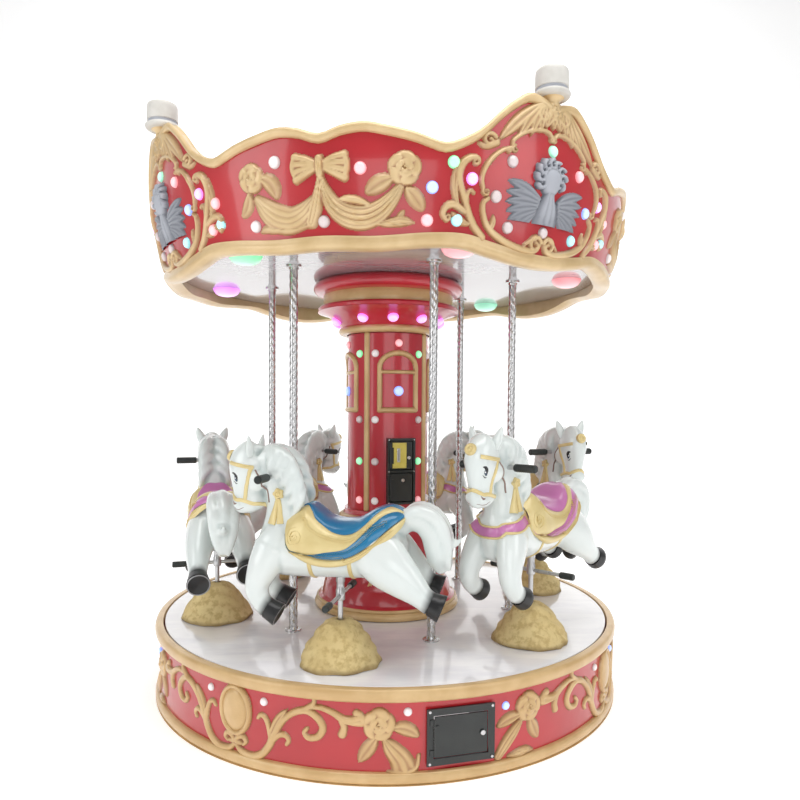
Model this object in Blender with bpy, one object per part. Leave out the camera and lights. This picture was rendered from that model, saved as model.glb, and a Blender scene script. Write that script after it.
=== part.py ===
"""Fairground carousel for six children, with galloping horses on a turning platform.

Metres, +Z up. The origin is on the floor, on the axis that the platform turns about.
An azimuth of 0 points along -Y and grows towards +X, seen from the front as to the right.
"""
import math

import bmesh
import bpy
from mathutils import Matrix, Vector

for old in list(bpy.data.objects):
    bpy.data.objects.remove(old)

# Driving dimensions
GAP = 0.0003
BASE_RADIUS = 1.10
SKIRT_RADIUS = 1.080
SKIRT_INNER = 1.055
SKIRT_TOP = 0.290
DECK_TOP = 0.3355
DECK_RADIUS = 1.058
DECK_THICKNESS = 0.030
CEILING = 1.920
CEILING_THICKNESS = 0.020
FOLD = 4
BASE_AZIMUTH = 14.2
COLUMN_AZIMUTH = 15.0
COIN_AZIMUTH = 19.0
CANOPY_AZIMUTH = -12.5
SHAFT_RADIUS = 0.198
HORSES = 6
HORSE_AZIMUTH = -12.4
HORSE_RADIUS = 0.827
HORSE_LIFTS = (0.0, 0.04, 0.05, 0.0, 0.0, 0.0)
HORSE_FORWARD = 0.023
POLE_AZIMUTH = -42.0
POLE_RADIUS = 0.609
ROD = 0.010
ROCK_HEIGHT = 0.165
RING_SEGMENTS = 48
COLUMN_SEGMENTS = 24

RED = (0.55, 0.02, 0.04)
GOLD = (0.72, 0.50, 0.20)
WHITE = (0.86, 0.86, 0.84)
BLACK = (0.02, 0.02, 0.02)
STEEL = (0.62, 0.62, 0.62)
BLUE = (0.02, 0.22, 0.50)
PINK = (0.60, 0.22, 0.55)
OCHRE = (0.62, 0.45, 0.17)
GREY = (0.30, 0.31, 0.32)


def paint(name, color, roughness=0.3, metallic=0.0):
    material = bpy.data.materials.new(name)
    material.use_nodes = True
    shader = material.node_tree.nodes["Principled BSDF"]
    shader.inputs["Base Color"].default_value = (*color, 1.0)
    shader.inputs["Roughness"].default_value = roughness
    shader.inputs["Metallic"].default_value = metallic
    return material


def place(azimuth, radius=0.0, height=0.0):
    """Matrix that puts a piece made facing -Y at an azimuth, a radius and a height."""
    turn = Matrix.Rotation(math.radians(azimuth), 4, "Z")
    return turn @ Matrix.Translation((0.0, -radius, height))


def add(name, mesh, material, matrix=None):
    thing = bpy.data.objects.new(name, mesh)
    bpy.context.collection.objects.link(thing)
    if not mesh.materials:
        mesh.materials.append(material)
    thing.material_slots[0].link = "OBJECT"
    thing.material_slots[0].material = material
    if matrix is not None:
        thing.matrix_world = matrix
    return thing


def finished(bm, smooth=True):
    bmesh.ops.recalc_face_normals(bm, faces=bm.faces)
    mesh = bpy.data.meshes.new("mesh")
    bm.to_mesh(mesh)
    bm.free()
    if smooth:
        mesh.shade_smooth()
        mesh.set_sharp_from_angle(angle=math.radians(35))
    return mesh


def loft(rings, closed=False, split=False):
    """Solid skin over rings with equal numbers of points, capped unless it closes on itself.

    Twisted four-sided faces are split, so that a piece and the cutter that follows it agree.
    """
    bm = bmesh.new()
    rows = [[bm.verts.new(point) for point in ring] for ring in rings]
    count = len(rows[0])
    pairs = list(zip(rows, rows[1:]))
    if closed:
        pairs.append((rows[-1], rows[0]))
    for low, high in pairs:
        for i in range(count):
            j = (i + 1) % count
            if split:
                bm.faces.new((low[i], low[j], high[j]))
                bm.faces.new((low[i], high[j], high[i]))
            else:
                bm.faces.new((low[i], low[j], high[j], high[i]))
    if not closed:
        bm.faces.new(rows[0])
        bm.faces.new(rows[-1])
    return finished(bm)


def lathe(profile, segments):
    """Ring turned about Z from a closed outline of (radius, height) points."""
    rings = []
    for k in range(segments):
        angle = math.tau * k / segments
        rings.append([(r * math.sin(angle), -r * math.cos(angle), z) for r, z in profile])
    return loft(rings, closed=True)


def turned(profile, sides):
    """Solid bar turned about Z through (radius, height) points, from the bottom up."""
    rings = []
    for radius, height in profile:
        angles = [math.tau * k / sides for k in range(sides)]
        rings.append([(radius * math.sin(a), -radius * math.cos(a), height) for a in angles])
    return loft(rings)


def box(low, high):
    bm = bmesh.new()
    bmesh.ops.create_cube(bm, size=1.0)
    size = [b - a for a, b in zip(low, high)]
    middle = [(a + b) / 2 for a, b in zip(low, high)]
    bmesh.ops.scale(bm, verts=bm.verts, vec=size)
    bmesh.ops.translate(bm, verts=bm.verts, vec=middle)
    return finished(bm, smooth=False)


def limb(stations, sides=6):
    """Body part lofted along a line in the horse's frame.

    A station is (forward, left, up, half width, half depth), the depth across the line's run.
    """
    points = [Vector(station[:3]) for station in stations]
    rings = []
    for i, (*_, wide, deep) in enumerate(stations):
        run = (points[min(i + 1, len(points) - 1)] - points[max(i - 1, 0)]).normalized()
        side = (Vector((0, 1, 0)) - run * run.y).normalized()
        across = run.cross(side)
        angles = [math.tau * (k + 0.5) / sides for k in range(sides)]
        rings.append([points[i] + side * wide * math.cos(a) + across * deep * math.sin(a)
                      for a in angles])
    return loft(rings, split=True)


def moved(mesh, matrix):
    mesh.transform(matrix)
    return mesh


def combined(mesh, others, operation):
    """One closed mesh from a first mesh and the others, joined or cut away in turn."""
    body = bpy.data.objects.new("body", mesh)
    bpy.context.collection.objects.link(body)
    tools = []
    for other in others:
        tool = bpy.data.objects.new("tool", other)
        bpy.context.collection.objects.link(tool)
        modifier = body.modifiers.new("cut", "BOOLEAN")
        modifier.operation = operation
        modifier.solver = "EXACT"
        modifier.object = tool
        tools.append(tool)
    graph = bpy.context.evaluated_depsgraph_get()
    result = bpy.data.meshes.new_from_object(body.evaluated_get(graph))
    for thing in [body] + tools:
        bpy.data.objects.remove(thing)
    return result


def fused(mesh, *others):
    return combined(mesh, others, "UNION")


def cut(mesh, *others):
    return combined(mesh, others, "DIFFERENCE")


def smoothstep(t):
    t = min(max(t, 0.0), 1.0)
    return t * t * (3 - 2 * t)


# Fixed base: a round skirt on the floor, a steel frame inside it and an access door
DOOR_LOW = 0.062
DOOR_HIGH = 0.264
DOOR_HALF_WIDTH = 0.127
DOOR_BORDER = 0.024
DOOR_CLEARANCE = 0.005
PLATE_BACK = SKIRT_RADIUS + GAP
PLATE_FRONT = PLATE_BACK + 0.008
BARREL = 0.0035


def door_frame(half_width, low, high, border, back, front):
    """Flat border plate facing -Y with hinge barrels at the top and foot of its left side."""
    plate = box((-half_width, -front, low), (half_width, -back, high))
    inner = half_width - border
    hole = box((-inner, -front - 0.01, low + border), (inner, -back + 0.01, high - border))
    plate = cut(plate, hole)
    middle = (low + high) / 2
    reach = (high - low) / 2 - border
    for sign in (-1, 1):
        ends = sorted((middle + sign * (reach * 0.55 + GAP), middle + sign * reach * 0.85))
        plate = fused(plate, hinge_part(inner, ends, front, -1))
    return plate


def hinge_part(inner, ends, front, side):
    """Barrel on the left edge, with a leaf that reaches towards the frame or the door."""
    axis_x = -inner + DOOR_CLEARANCE / 2
    axis_y = -front - BARREL
    barrel = turned([(BARREL, ends[0]), (BARREL, ends[1])], 8)
    barrel = moved(barrel, Matrix.Translation((axis_x, axis_y, 0)))
    inset = 0.0004
    leaf_x = sorted((axis_x, axis_x + side * 0.016))
    leaf = box((leaf_x[0], axis_y, ends[0] + inset), (leaf_x[1], -front + 0.002, ends[1] - inset))
    return fused(barrel, leaf)


def door_panel(half_width, low, high, border, back, front, lock):
    """Flat door inside the border, with its hinge barrel and a round lock on its face."""
    inner = half_width - border - DOOR_CLEARANCE
    panel = box((-inner, -front + 0.0005, low + border + DOOR_CLEARANCE),
                (inner, -back - 0.001, high - border - DOOR_CLEARANCE))
    reach = ((high - low) / 2 - border) * 0.55
    middle = (low + high) / 2
    barrel = hinge_part(half_width - border, (middle - reach, middle + reach), front, 1)
    cylinder = turned([(0.010, 0.0), (0.010, 0.006)], 12)
    turn = Matrix.Translation((lock[0], -front + 0.002, lock[1])) @ Matrix.Rotation(
        math.radians(90), 4, "X")
    return fused(panel, barrel, moved(cylinder, turn))


def base():
    red = paint("skirt_red", RED, 0.25)
    gold = paint("rim_gold", GOLD, 0.4, 0.2)
    black = paint("door_black", BLACK, 0.4)
    skirt = lathe([(SKIRT_INNER, 0), (SKIRT_RADIUS, 0), (SKIRT_RADIUS, SKIRT_TOP),
                   (SKIRT_INNER, SKIRT_TOP)], RING_SEGMENTS)
    inner = DOOR_HALF_WIDTH - DOOR_BORDER
    doorway = box((-inner, -1.2, DOOR_LOW + DOOR_BORDER), (inner, -0.9, DOOR_HIGH - DOOR_BORDER))
    skirt = cut(skirt, moved(doorway, place(BASE_AZIMUTH)))
    for k in range(FOLD):
        oval = turned([(1.0, -0.010), (1.0, 0.004), (0.7, 0.016)], 12)
        stand = Matrix.Rotation(math.radians(90), 4, "X") @ Matrix.Diagonal((0.052, 0.088, 1, 1))
        oval.transform(place(BASE_AZIMUTH + 45 + 90 * k, SKIRT_RADIUS, 0.190) @ stand)
        skirt = fused(skirt, oval)
    add("base_skirt", skirt, red)
    add("base_top_rim", lathe([(DECK_RADIUS + 0.006, SKIRT_TOP + GAP), (1.094, SKIRT_TOP + GAP),
                               (BASE_RADIUS, 0.312), (1.092, 0.336), (DECK_RADIUS + 0.006, 0.3385)],
                              RING_SEGMENTS), gold)
    add("base_bottom_rim", lathe([(SKIRT_RADIUS + GAP, 0.0005), (BASE_RADIUS, 0.0005),
                                  (BASE_RADIUS, 0.034), (SKIRT_RADIUS + GAP, 0.044)],
                                 RING_SEGMENTS), gold)

    arms = []
    arm_half = 0.025
    hub = 0.10
    for k in range(8):
        azimuth = BASE_AZIMUTH + 22.5 + 45 * k
        reach = SKIRT_INNER + 0.010
        for side, radius in ((-1, hub), (-1, reach), (1, reach), (1, hub)):
            arms.append(place(azimuth) @ Vector((side * arm_half, -radius, 0.0)))
    star = loft([[point + Vector((0, 0, z)) for point in arms] for z in (0.0, 0.05)])
    room = turned([(SKIRT_INNER - GAP, -0.01), (SKIRT_INNER - GAP, 0.06)], RING_SEGMENTS)
    star = combined(star, (room,), "INTERSECT")
    bearing_top = DECK_TOP - DECK_THICKNESS - GAP
    pillar = turned([(0.09, 0.02), (0.09, 0.27), (0.20, 0.275), (0.20, bearing_top)], 16)
    add("base_frame", fused(star, pillar), paint("frame_steel", GREY, 0.5, 0.6))
    frame = (DOOR_HALF_WIDTH, DOOR_LOW, DOOR_HIGH, DOOR_BORDER, PLATE_BACK, PLATE_FRONT)
    add("base_door_frame", door_frame(*frame), black, place(BASE_AZIMUTH))
    add("base_door", door_panel(*frame, lock=(0.080, 0.163)), black, place(BASE_AZIMUTH))


# Platform and central column
PLINTH_TOP = 0.818
SHAFT_TOP = 1.664
COIN_HALF_WIDTH = 0.070
COIN_BACK = 0.150
COIN_FRONT = 0.2075
COIN_BORDER = 0.011
COIN_SPLIT = 1.010
COIN_LOW = 0.853
COIN_HIGH = 1.167


def platform():
    deck = turned([(DECK_RADIUS, DECK_TOP - DECK_THICKNESS), (DECK_RADIUS, DECK_TOP)],
                  RING_SEGMENTS)
    add("platform_deck", deck, paint("deck_white", WHITE, 0.25))
    red = paint("column_red", RED, 0.2)
    floor = DECK_TOP + GAP
    add("column_plinth", turned([
        (0.350, floor), (0.358, floor + 0.030), (0.335, floor + 0.048), (0.322, 0.400),
        (0.285, 0.480), (0.245, 0.600), (0.222, 0.745), (0.234, 0.765), (0.238, 0.795),
        (0.215, PLINTH_TOP)], COLUMN_SEGMENTS), red)
    shaft = turned([(SHAFT_RADIUS, PLINTH_TOP + GAP), (SHAFT_RADIUS, SHAFT_TOP)],
                   COLUMN_SEGMENTS)
    for k in range(FOLD):
        azimuth = COLUMN_AZIMUTH + 90 * k
        strip = box((-0.011, -0.012, PLINTH_TOP + 0.006), (0.011, 0.02, SHAFT_TOP - 0.004))
        window = box((-0.098, -0.016, 1.285), (0.098, 0.05, 1.580))
        pane = box((-0.078, -0.04, 1.305), (0.078, -0.002, 1.560))
        shaft = fused(shaft, moved(strip, place(azimuth + 45, SHAFT_RADIUS - 0.002)),
                      moved(cut(window, pane), place(azimuth, SHAFT_RADIUS - 0.012)))
    seat = box((-COIN_HALF_WIDTH - GAP, -0.3, COIN_LOW - GAP),
               (COIN_HALF_WIDTH + GAP, -COIN_BACK + GAP, COIN_HIGH + GAP))
    add("column_shaft", cut(shaft, moved(seat, place(COIN_AZIMUTH))), red)
    add("column_capital", turned([
        (0.216, SHAFT_TOP + GAP), (0.244, 1.672), (0.244, 1.700), (0.228, 1.708), (0.268, 1.740),
        (0.345, 1.785), (0.345, 1.795), (0.316, 1.803), (0.318, 1.858), (0.352, 1.866),
        (0.368, 1.885), (0.360, CEILING - GAP)], COLUMN_SEGMENTS), red)
    coin_boxes()


def coin_boxes():
    black = paint("coin_black", BLACK, 0.4)
    body = box((-COIN_HALF_WIDTH, -COIN_FRONT, COIN_LOW), (COIN_HALF_WIDTH, -COIN_BACK, COIN_HIGH))
    inner = COIN_HALF_WIDTH - COIN_BORDER
    pockets = ((COIN_LOW, COIN_SPLIT + COIN_BORDER / 2), (COIN_SPLIT - COIN_BORDER / 2, COIN_HIGH))
    for low, high in pockets:
        pocket = box((-inner, -COIN_FRONT - 0.01, low + COIN_BORDER),
                     (inner, -COIN_BACK - 0.008, high - COIN_BORDER))
        body = cut(body, pocket)
    for low, high in pockets:
        middle = (low + high) / 2
        reach = (high - low) / 2 - COIN_BORDER
        for sign in (-1, 1):
            ends = sorted((middle + sign * (reach * 0.55 + GAP), middle + sign * reach * 0.85))
            body = fused(body, hinge_part(inner, ends, COIN_FRONT, -1))
    add("coin_panel", body, black, place(COIN_AZIMUTH))
    for name, (low, high), lock in (("cash_box_door", pockets[0], (0.006, 0.968)),
                                    ("coin_door", pockets[1], (0.035, 1.075))):
        panel = door_panel(COIN_HALF_WIDTH, low, high, COIN_BORDER, COIN_FRONT - 0.006,
                           COIN_FRONT, lock)
        add(name, panel, black, place(COIN_AZIMUTH))


# Canopy: flat ceiling, flared valance with a waved top and foot, gold rims and finials
WALL = 0.022
FLARE = 0.215
CREST_TOP = 2.430
TOP_WAVE = ((0, 2.239), (4, 2.262), (8, 2.272), (12, 2.256), (17, 2.238), (20, 2.222),
            (22.9, 2.212), (27, 2.245), (30, 2.285), (33, 2.342), (36, 2.386), (39.5, 2.422),
            (45, CREST_TOP))
FOOT_WAVE = ((0, 1.861), (10, 1.857), (20, 1.872), (27, 1.875), (33, 1.855), (39, 1.838),
             (45, 1.832))


def wave(table, azimuth):
    """Height from a table over the angle to the nearest bow, the same in all quarters."""
    away = abs((azimuth - CANOPY_AZIMUTH + 45) % 90 - 45)
    for (a, low), (b, high) in zip(table, table[1:]):
        if away <= b:
            return low + (high - low) * smoothstep((away - a) / (b - a))
    return table[-1][1]


def flare(height):
    """Outer radius of the valance, which leans outwards as it rises."""
    return 1.0175 + FLARE * (min(max(height, 1.65), 2.16) - 1.793)


def around(section):
    """Ring swept round the canopy from a function that gives its outline at an azimuth."""
    rings = []
    for k in range(RING_SEGMENTS):
        azimuth = CANOPY_AZIMUTH + 360 * k / RING_SEGMENTS
        angle = math.radians(azimuth)
        rings.append([(r * math.sin(angle), -r * math.cos(angle), z)
                      for r, z in section(azimuth)])
    return loft(rings, closed=True, split=True)


def valance(azimuth):
    foot = wave(FOOT_WAVE, azimuth) + 0.015
    top = wave(TOP_WAVE, azimuth) - 0.012
    outer = [(flare(z), z) for z in (foot, 2.0, 2.16, top)]
    return outer + [(flare(z) - WALL, z) for z in (top, 2.16, foot)]


def top_rim(azimuth):
    top = wave(TOP_WAVE, azimuth)
    wall = flare(top - 0.012)
    low = top - 0.050
    return [(flare(low) + GAP, low), (flare(low) + 0.014, low), (wall + 0.024, top - 0.022),
            (wall + 0.006, top), (wall - WALL, top - 0.003), (wall - WALL, top - 0.010),
            (wall + GAP, top - 0.010)]


def bottom_rim(azimuth):
    low = wave(FOOT_WAVE, azimuth)
    seat = low + 0.013
    leg = low + 0.050
    inner = WALL + GAP
    return [(flare(leg) + GAP, leg), (flare(seat) + GAP, seat), (flare(seat) - inner, seat),
            (flare(CEILING) - inner, CEILING - GAP), (flare(CEILING) - 0.052, CEILING - GAP),
            (flare(low) - 0.050, low + 0.012), (flare(low) - 0.012, low),
            (flare(low) + 0.020, low + 0.012), (flare(leg) + 0.014, leg)]


def canopy():
    red = paint("valance_red", RED, 0.25)
    gold = paint("valance_gold", GOLD, 0.4, 0.2)
    edge = flare(CEILING) - WALL - 2 * GAP
    ceiling = turned([(edge, CEILING), (edge, CEILING + CEILING_THICKNESS)], RING_SEGMENTS)
    ceiling = moved(ceiling, place(CANOPY_AZIMUTH))
    domes = []
    for k in range(HORSES):
        dome = turned([(0.028, -0.040), (0.060, -0.026), (0.070, 0.006)], 10)
        domes.append(moved(dome, place(POLE_AZIMUTH + 60 * k, 0.860, CEILING)))
    add("canopy_ceiling", fused(ceiling, *domes), paint("ceiling_white", WHITE, 0.2))
    add("canopy_valance", around(valance), red)
    add("canopy_top_rim", around(top_rim), gold)
    add("canopy_bottom_rim", around(bottom_rim), gold)
    drum = [(0.048, 0.0), (0.058, 0.006), (0.066, 0.020), (0.061, 0.045), (0.062, 0.085),
            (0.053, 0.102), (0.022, 0.107)]
    finial = turned(drum, 8)
    white = paint("finial_white", WHITE, 0.4)
    for k in range(FOLD):
        spot = place(CANOPY_AZIMUTH + 45 + 90 * k, flare(CREST_TOP) - 0.005, CREST_TOP + GAP)
        add(f"finial_{k + 1}", finial, white, spot)


# Six twisted poles and six rocks that the horses' rods come out of
def poles_and_rocks():
    floor = DECK_TOP + GAP
    top = CEILING - GAP
    pole = turned([(0.036, floor), (0.036, floor + 0.007), (0.022, floor + 0.012), (0.019, 0.50),
                   (0.019, top - 0.10), (0.021, top - 0.010), (0.034, top - 0.006), (0.034, top)], 8)
    steel = paint("pole_steel", STEEL, 0.2, 1.0)
    ochre = paint("rock_ochre", OCHRE, 0.8)
    rings = []
    bore = ROD + 0.0006
    for k in range(10):
        angle = math.tau * k / 10
        bulge = 1 + 0.07 * math.sin(2 * angle + 0.6) + 0.05 * math.sin(5 * angle)
        outline = ((bore, floor), (0.163 * bulge, floor), (0.160 * bulge, floor + 0.045),
                   (0.130 * bulge, floor + 0.105), (0.078 * bulge, floor + 0.150),
                   (0.036, floor + ROCK_HEIGHT), (bore, floor + ROCK_HEIGHT))
        rings.append([(r * math.cos(angle), r * math.sin(angle), z) for r, z in outline])
    rock = loft(rings, closed=True)
    for k in range(HORSES):
        add(f"pole_{k + 1}", pole, steel, place(POLE_AZIMUTH + 60 * k, POLE_RADIUS))
        add(f"rock_{k + 1}", rock, ochre, place(HORSE_AZIMUTH + 60 * k, HORSE_RADIUS))


# Horses: forward is +X and left is +Y in a horse's own frame. The casting is drawn a little
# behind where it sits, and moves forward over the rod at the origin.
BACK = ((0.305, 0, 0.775, 0.040, 0.045), (0.270, 0, 0.765, 0.085, 0.095),
        (0.180, 0, 0.760, 0.108, 0.112), (0.050, 0, 0.735, 0.112, 0.082),
        (-0.090, 0, 0.742, 0.112, 0.086), (-0.190, 0, 0.775, 0.118, 0.115),
        (-0.262, 0, 0.800, 0.070, 0.075))
NECK = ((0.195, 0, 0.780, 0.080, 0.120), (0.215, 0, 0.885, 0.072, 0.112),
        (0.225, 0, 0.985, 0.066, 0.105), (0.262, 0, 1.085, 0.060, 0.100),
        (0.300, 0, 1.160, 0.045, 0.050))
HEAD = ((0.318, 0, 1.160, 0.040, 0.050), (0.330, 0, 1.095, 0.060, 0.088),
        (0.352, 0, 1.020, 0.054, 0.076), (0.378, 0, 0.955, 0.046, 0.062),
        (0.388, 0, 0.905, 0.034, 0.040))
TAIL = ((-0.225, 0, 0.860, 0.040, 0.040), (-0.290, 0, 0.905, 0.050, 0.052),
        (-0.365, 0, 0.885, 0.062, 0.068), (-0.405, 0, 0.810, 0.062, 0.078),
        (-0.405, 0, 0.745, 0.050, 0.060), (-0.410, 0, 0.695, 0.026, 0.028))
FORELEG = ((0.225, 0.062, 0.750, 0.060, 0.072), (0.268, 0.080, 0.690, 0.054, 0.060),
           (0.284, 0.088, 0.630, 0.044, 0.046), (0.262, 0.093, 0.575, 0.037, 0.039),
           (0.190, 0.095, 0.528, 0.042, 0.042))
FORELEG_RAISED = ((0.225, -0.062, 0.750, 0.060, 0.072), (0.272, -0.080, 0.698, 0.053, 0.060),
                  (0.302, -0.087, 0.640, 0.042, 0.045), (0.286, -0.090, 0.586, 0.037, 0.039),
                  (0.212, -0.092, 0.536, 0.042, 0.042))
HIND_LEG = ((-0.165, 0.064, 0.780, 0.070, 0.095), (-0.228, 0.084, 0.728, 0.064, 0.085),
            (-0.288, 0.095, 0.684, 0.053, 0.066), (-0.345, 0.099, 0.640, 0.042, 0.048),
            (-0.428, 0.100, 0.592, 0.045, 0.048))
HIND_LEG_RAISED = ((-0.165, -0.064, 0.780, 0.070, 0.095), (-0.222, -0.084, 0.738, 0.064, 0.084),
                   (-0.276, -0.095, 0.700, 0.052, 0.064), (-0.325, -0.099, 0.658, 0.041, 0.046),
                   (-0.400, -0.100, 0.612, 0.045, 0.048))
HANDLE_FORWARD = 0.244
HANDLE_HEIGHT = 1.045
HANDLE_HALF = 0.175
FOOT_BAR_HEIGHT = 0.590
FOOT_BAR_HALF = 0.200
SLEEVE = 0.018
SLEEVE_LOW = 0.572
SLEEVE_TOP = 0.690
ROD_LOW = DECK_TOP + 0.062
SADDLE = ((0.118, 0.020, 0.935, 0.830), (0.085, 0.080, 0.905, 0.780), (0.030, 0.130, 0.840, 0.718),
          (-0.050, 0.137, 0.838, 0.712), (-0.130, 0.135, 0.868, 0.740),
          (-0.205, 0.125, 0.924, 0.815), (-0.262, 0.085, 0.918, 0.862))


def crossbar(radius_bar, radius_grip, half, grip, forward, height):
    """Bar across the horse, left to right, with a thicker grip at each end."""
    step = 0.002
    profile = [(radius_grip, -half), (radius_grip, -half + grip), (radius_bar, -half + grip + step),
               (radius_bar, half - grip - step), (radius_grip, half - grip), (radius_grip, half)]
    lay = Matrix.Translation((forward, 0, height)) @ Matrix.Rotation(math.radians(90), 4, "X")
    return moved(turned(profile, 6), lay)


def figure():
    """Whole horse in one casting, with its handlebar through the neck and a socket below."""
    parts = [limb(NECK), limb(HEAD), limb(TAIL)]
    parts += [limb(leg, 5) for leg in (FORELEG, FORELEG_RAISED, HIND_LEG, HIND_LEG_RAISED)]
    for side in (-1, 1):
        parts.append(limb(((0.318, side * 0.034, 1.140, 0.022, 0.022),
                           (0.348, side * 0.046, 1.192, 0.007, 0.007)), 5))
    parts.append(crossbar(0.010, 0.016, HANDLE_HALF, 0.095, HANDLE_FORWARD, HANDLE_HEIGHT))
    horse = moved(fused(limb(BACK, 8), *parts), Matrix.Translation((HORSE_FORWARD, 0, 0)))
    socket = turned([(SLEEVE + 0.0008, 0.50), (SLEEVE + 0.0008, SLEEVE_TOP + GAP)], 8)
    return cut(horse, socket)


def widened(stations, room=0.0012):
    """The same body part with room around it and beyond both of its ends."""
    points = [Vector(station[:3]) for station in stations]
    points[0] += (points[0] - points[1]).normalized() * room
    points[-1] += (points[-1] - points[-2]).normalized() * room
    return [(*point, station[3] + room, station[4] + room)
            for point, station in zip(points, stations)]


def saddle():
    """Saddle with a raised front and back, hollowed to sit over the horse's body."""
    rings = []
    for forward, wide, top, low in SADDLE:
        shoulder = top - 0.35 * (top - low)
        outline = ((0.35, top), (0.85, shoulder), (1.0, (shoulder + low) / 2), (0.92, low),
                   (-0.92, low), (-1.0, (shoulder + low) / 2), (-0.85, shoulder), (-0.35, top))
        rings.append([(forward, wide * across, z) for across, z in outline])
    cutters = [limb(widened(BACK), 8)] + [limb(widened(part)) for part in (NECK, TAIL)]
    cutters += [limb(widened(leg), 5) for leg in (FORELEG, FORELEG_RAISED, HIND_LEG,
                                                  HIND_LEG_RAISED)]
    return moved(cut(loft(rings), *cutters), Matrix.Translation((HORSE_FORWARD, 0, 0)))


def horse_rod():
    """Rod with its sleeve and the foot bar across it."""
    rod = turned([(ROD, ROD_LOW), (ROD, SLEEVE_LOW - 0.006), (SLEEVE, SLEEVE_LOW),
                  (SLEEVE, SLEEVE_TOP)], 8)
    return fused(rod, crossbar(0.008, 0.014, FOOT_BAR_HALF, 0.062, 0.0, FOOT_BAR_HEIGHT))


def horses():
    white = paint("horse_white", WHITE, 0.25)
    steel = paint("rod_steel", STEEL, 0.25, 1.0)
    blue = paint("saddle_blue", BLUE, 0.15)
    pink = paint("saddle_pink", PINK, 0.15)
    seats = (blue, pink, blue, pink, pink, pink)
    body = figure()
    seat = saddle()
    rod = horse_rod()
    for k in range(HORSES):
        spot = place(HORSE_AZIMUTH + 60 * k, HORSE_RADIUS, HORSE_LIFTS[k])
        spot = spot @ Matrix.Rotation(math.pi, 4, "Z")
        add(f"horse_{k + 1}_figure", body, white, spot)
        add(f"horse_{k + 1}_saddle", seat, seats[k], spot)
        add(f"horse_{k + 1}_rod", rod, steel, spot)


base()
platform()
canopy()
poles_and_rocks()
horses()
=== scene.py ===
"""Looks for the fairground carousel: glossy lacquer, gold mouldings, lamps and six painted horses.

Metres, +Z up. An azimuth of 0 points along -Y and grows towards +X. Angles in names are degrees.
"""
import math

import bmesh
import bpy
import numpy as np
from mathutils import Matrix, Vector
from mathutils.bvhtree import BVHTree


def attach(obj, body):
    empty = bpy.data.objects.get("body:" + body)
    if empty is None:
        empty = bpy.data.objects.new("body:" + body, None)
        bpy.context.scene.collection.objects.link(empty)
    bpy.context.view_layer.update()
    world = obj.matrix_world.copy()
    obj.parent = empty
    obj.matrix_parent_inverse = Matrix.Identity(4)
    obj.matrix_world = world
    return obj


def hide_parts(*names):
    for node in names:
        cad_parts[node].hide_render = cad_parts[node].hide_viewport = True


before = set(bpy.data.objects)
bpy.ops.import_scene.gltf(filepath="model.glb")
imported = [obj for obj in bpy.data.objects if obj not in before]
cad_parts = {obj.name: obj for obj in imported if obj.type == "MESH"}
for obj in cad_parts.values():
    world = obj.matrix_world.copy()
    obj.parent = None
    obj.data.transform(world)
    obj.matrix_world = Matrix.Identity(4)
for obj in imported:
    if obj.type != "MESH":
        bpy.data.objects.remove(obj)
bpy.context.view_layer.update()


# Base skirt: a drum of fibreglass on the floor, sprayed in glossy red lacquer over gold-painted
# ornament that is moulded with it. It carries the platform's rim and hides the drive.
class Value:
    """A number that changes over a surface. Python's operators add Math nodes to it."""

    def __init__(self, finish, socket):
        self.finish = finish
        self.socket = socket

    def math(self, operation, *values):
        return self.finish.node("ShaderNodeMath", {"operation": operation}, values)

    def __add__(self, other):
        return self.math("ADD", self, other)

    def __rsub__(self, other):
        return self.math("SUBTRACT", other, self)

    def __mul__(self, other):
        return self.math("MULTIPLY", self, other)

    __radd__ = __add__
    __rmul__ = __mul__

    def between(self, low, high):
        """0 below low, 1 above high, with a smooth rise between them."""
        return self.finish.node("ShaderNodeMapRange", {"interpolation_type": "SMOOTHSTEP"},
                                {"Value": self, "From Min": low, "From Max": high})


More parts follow.
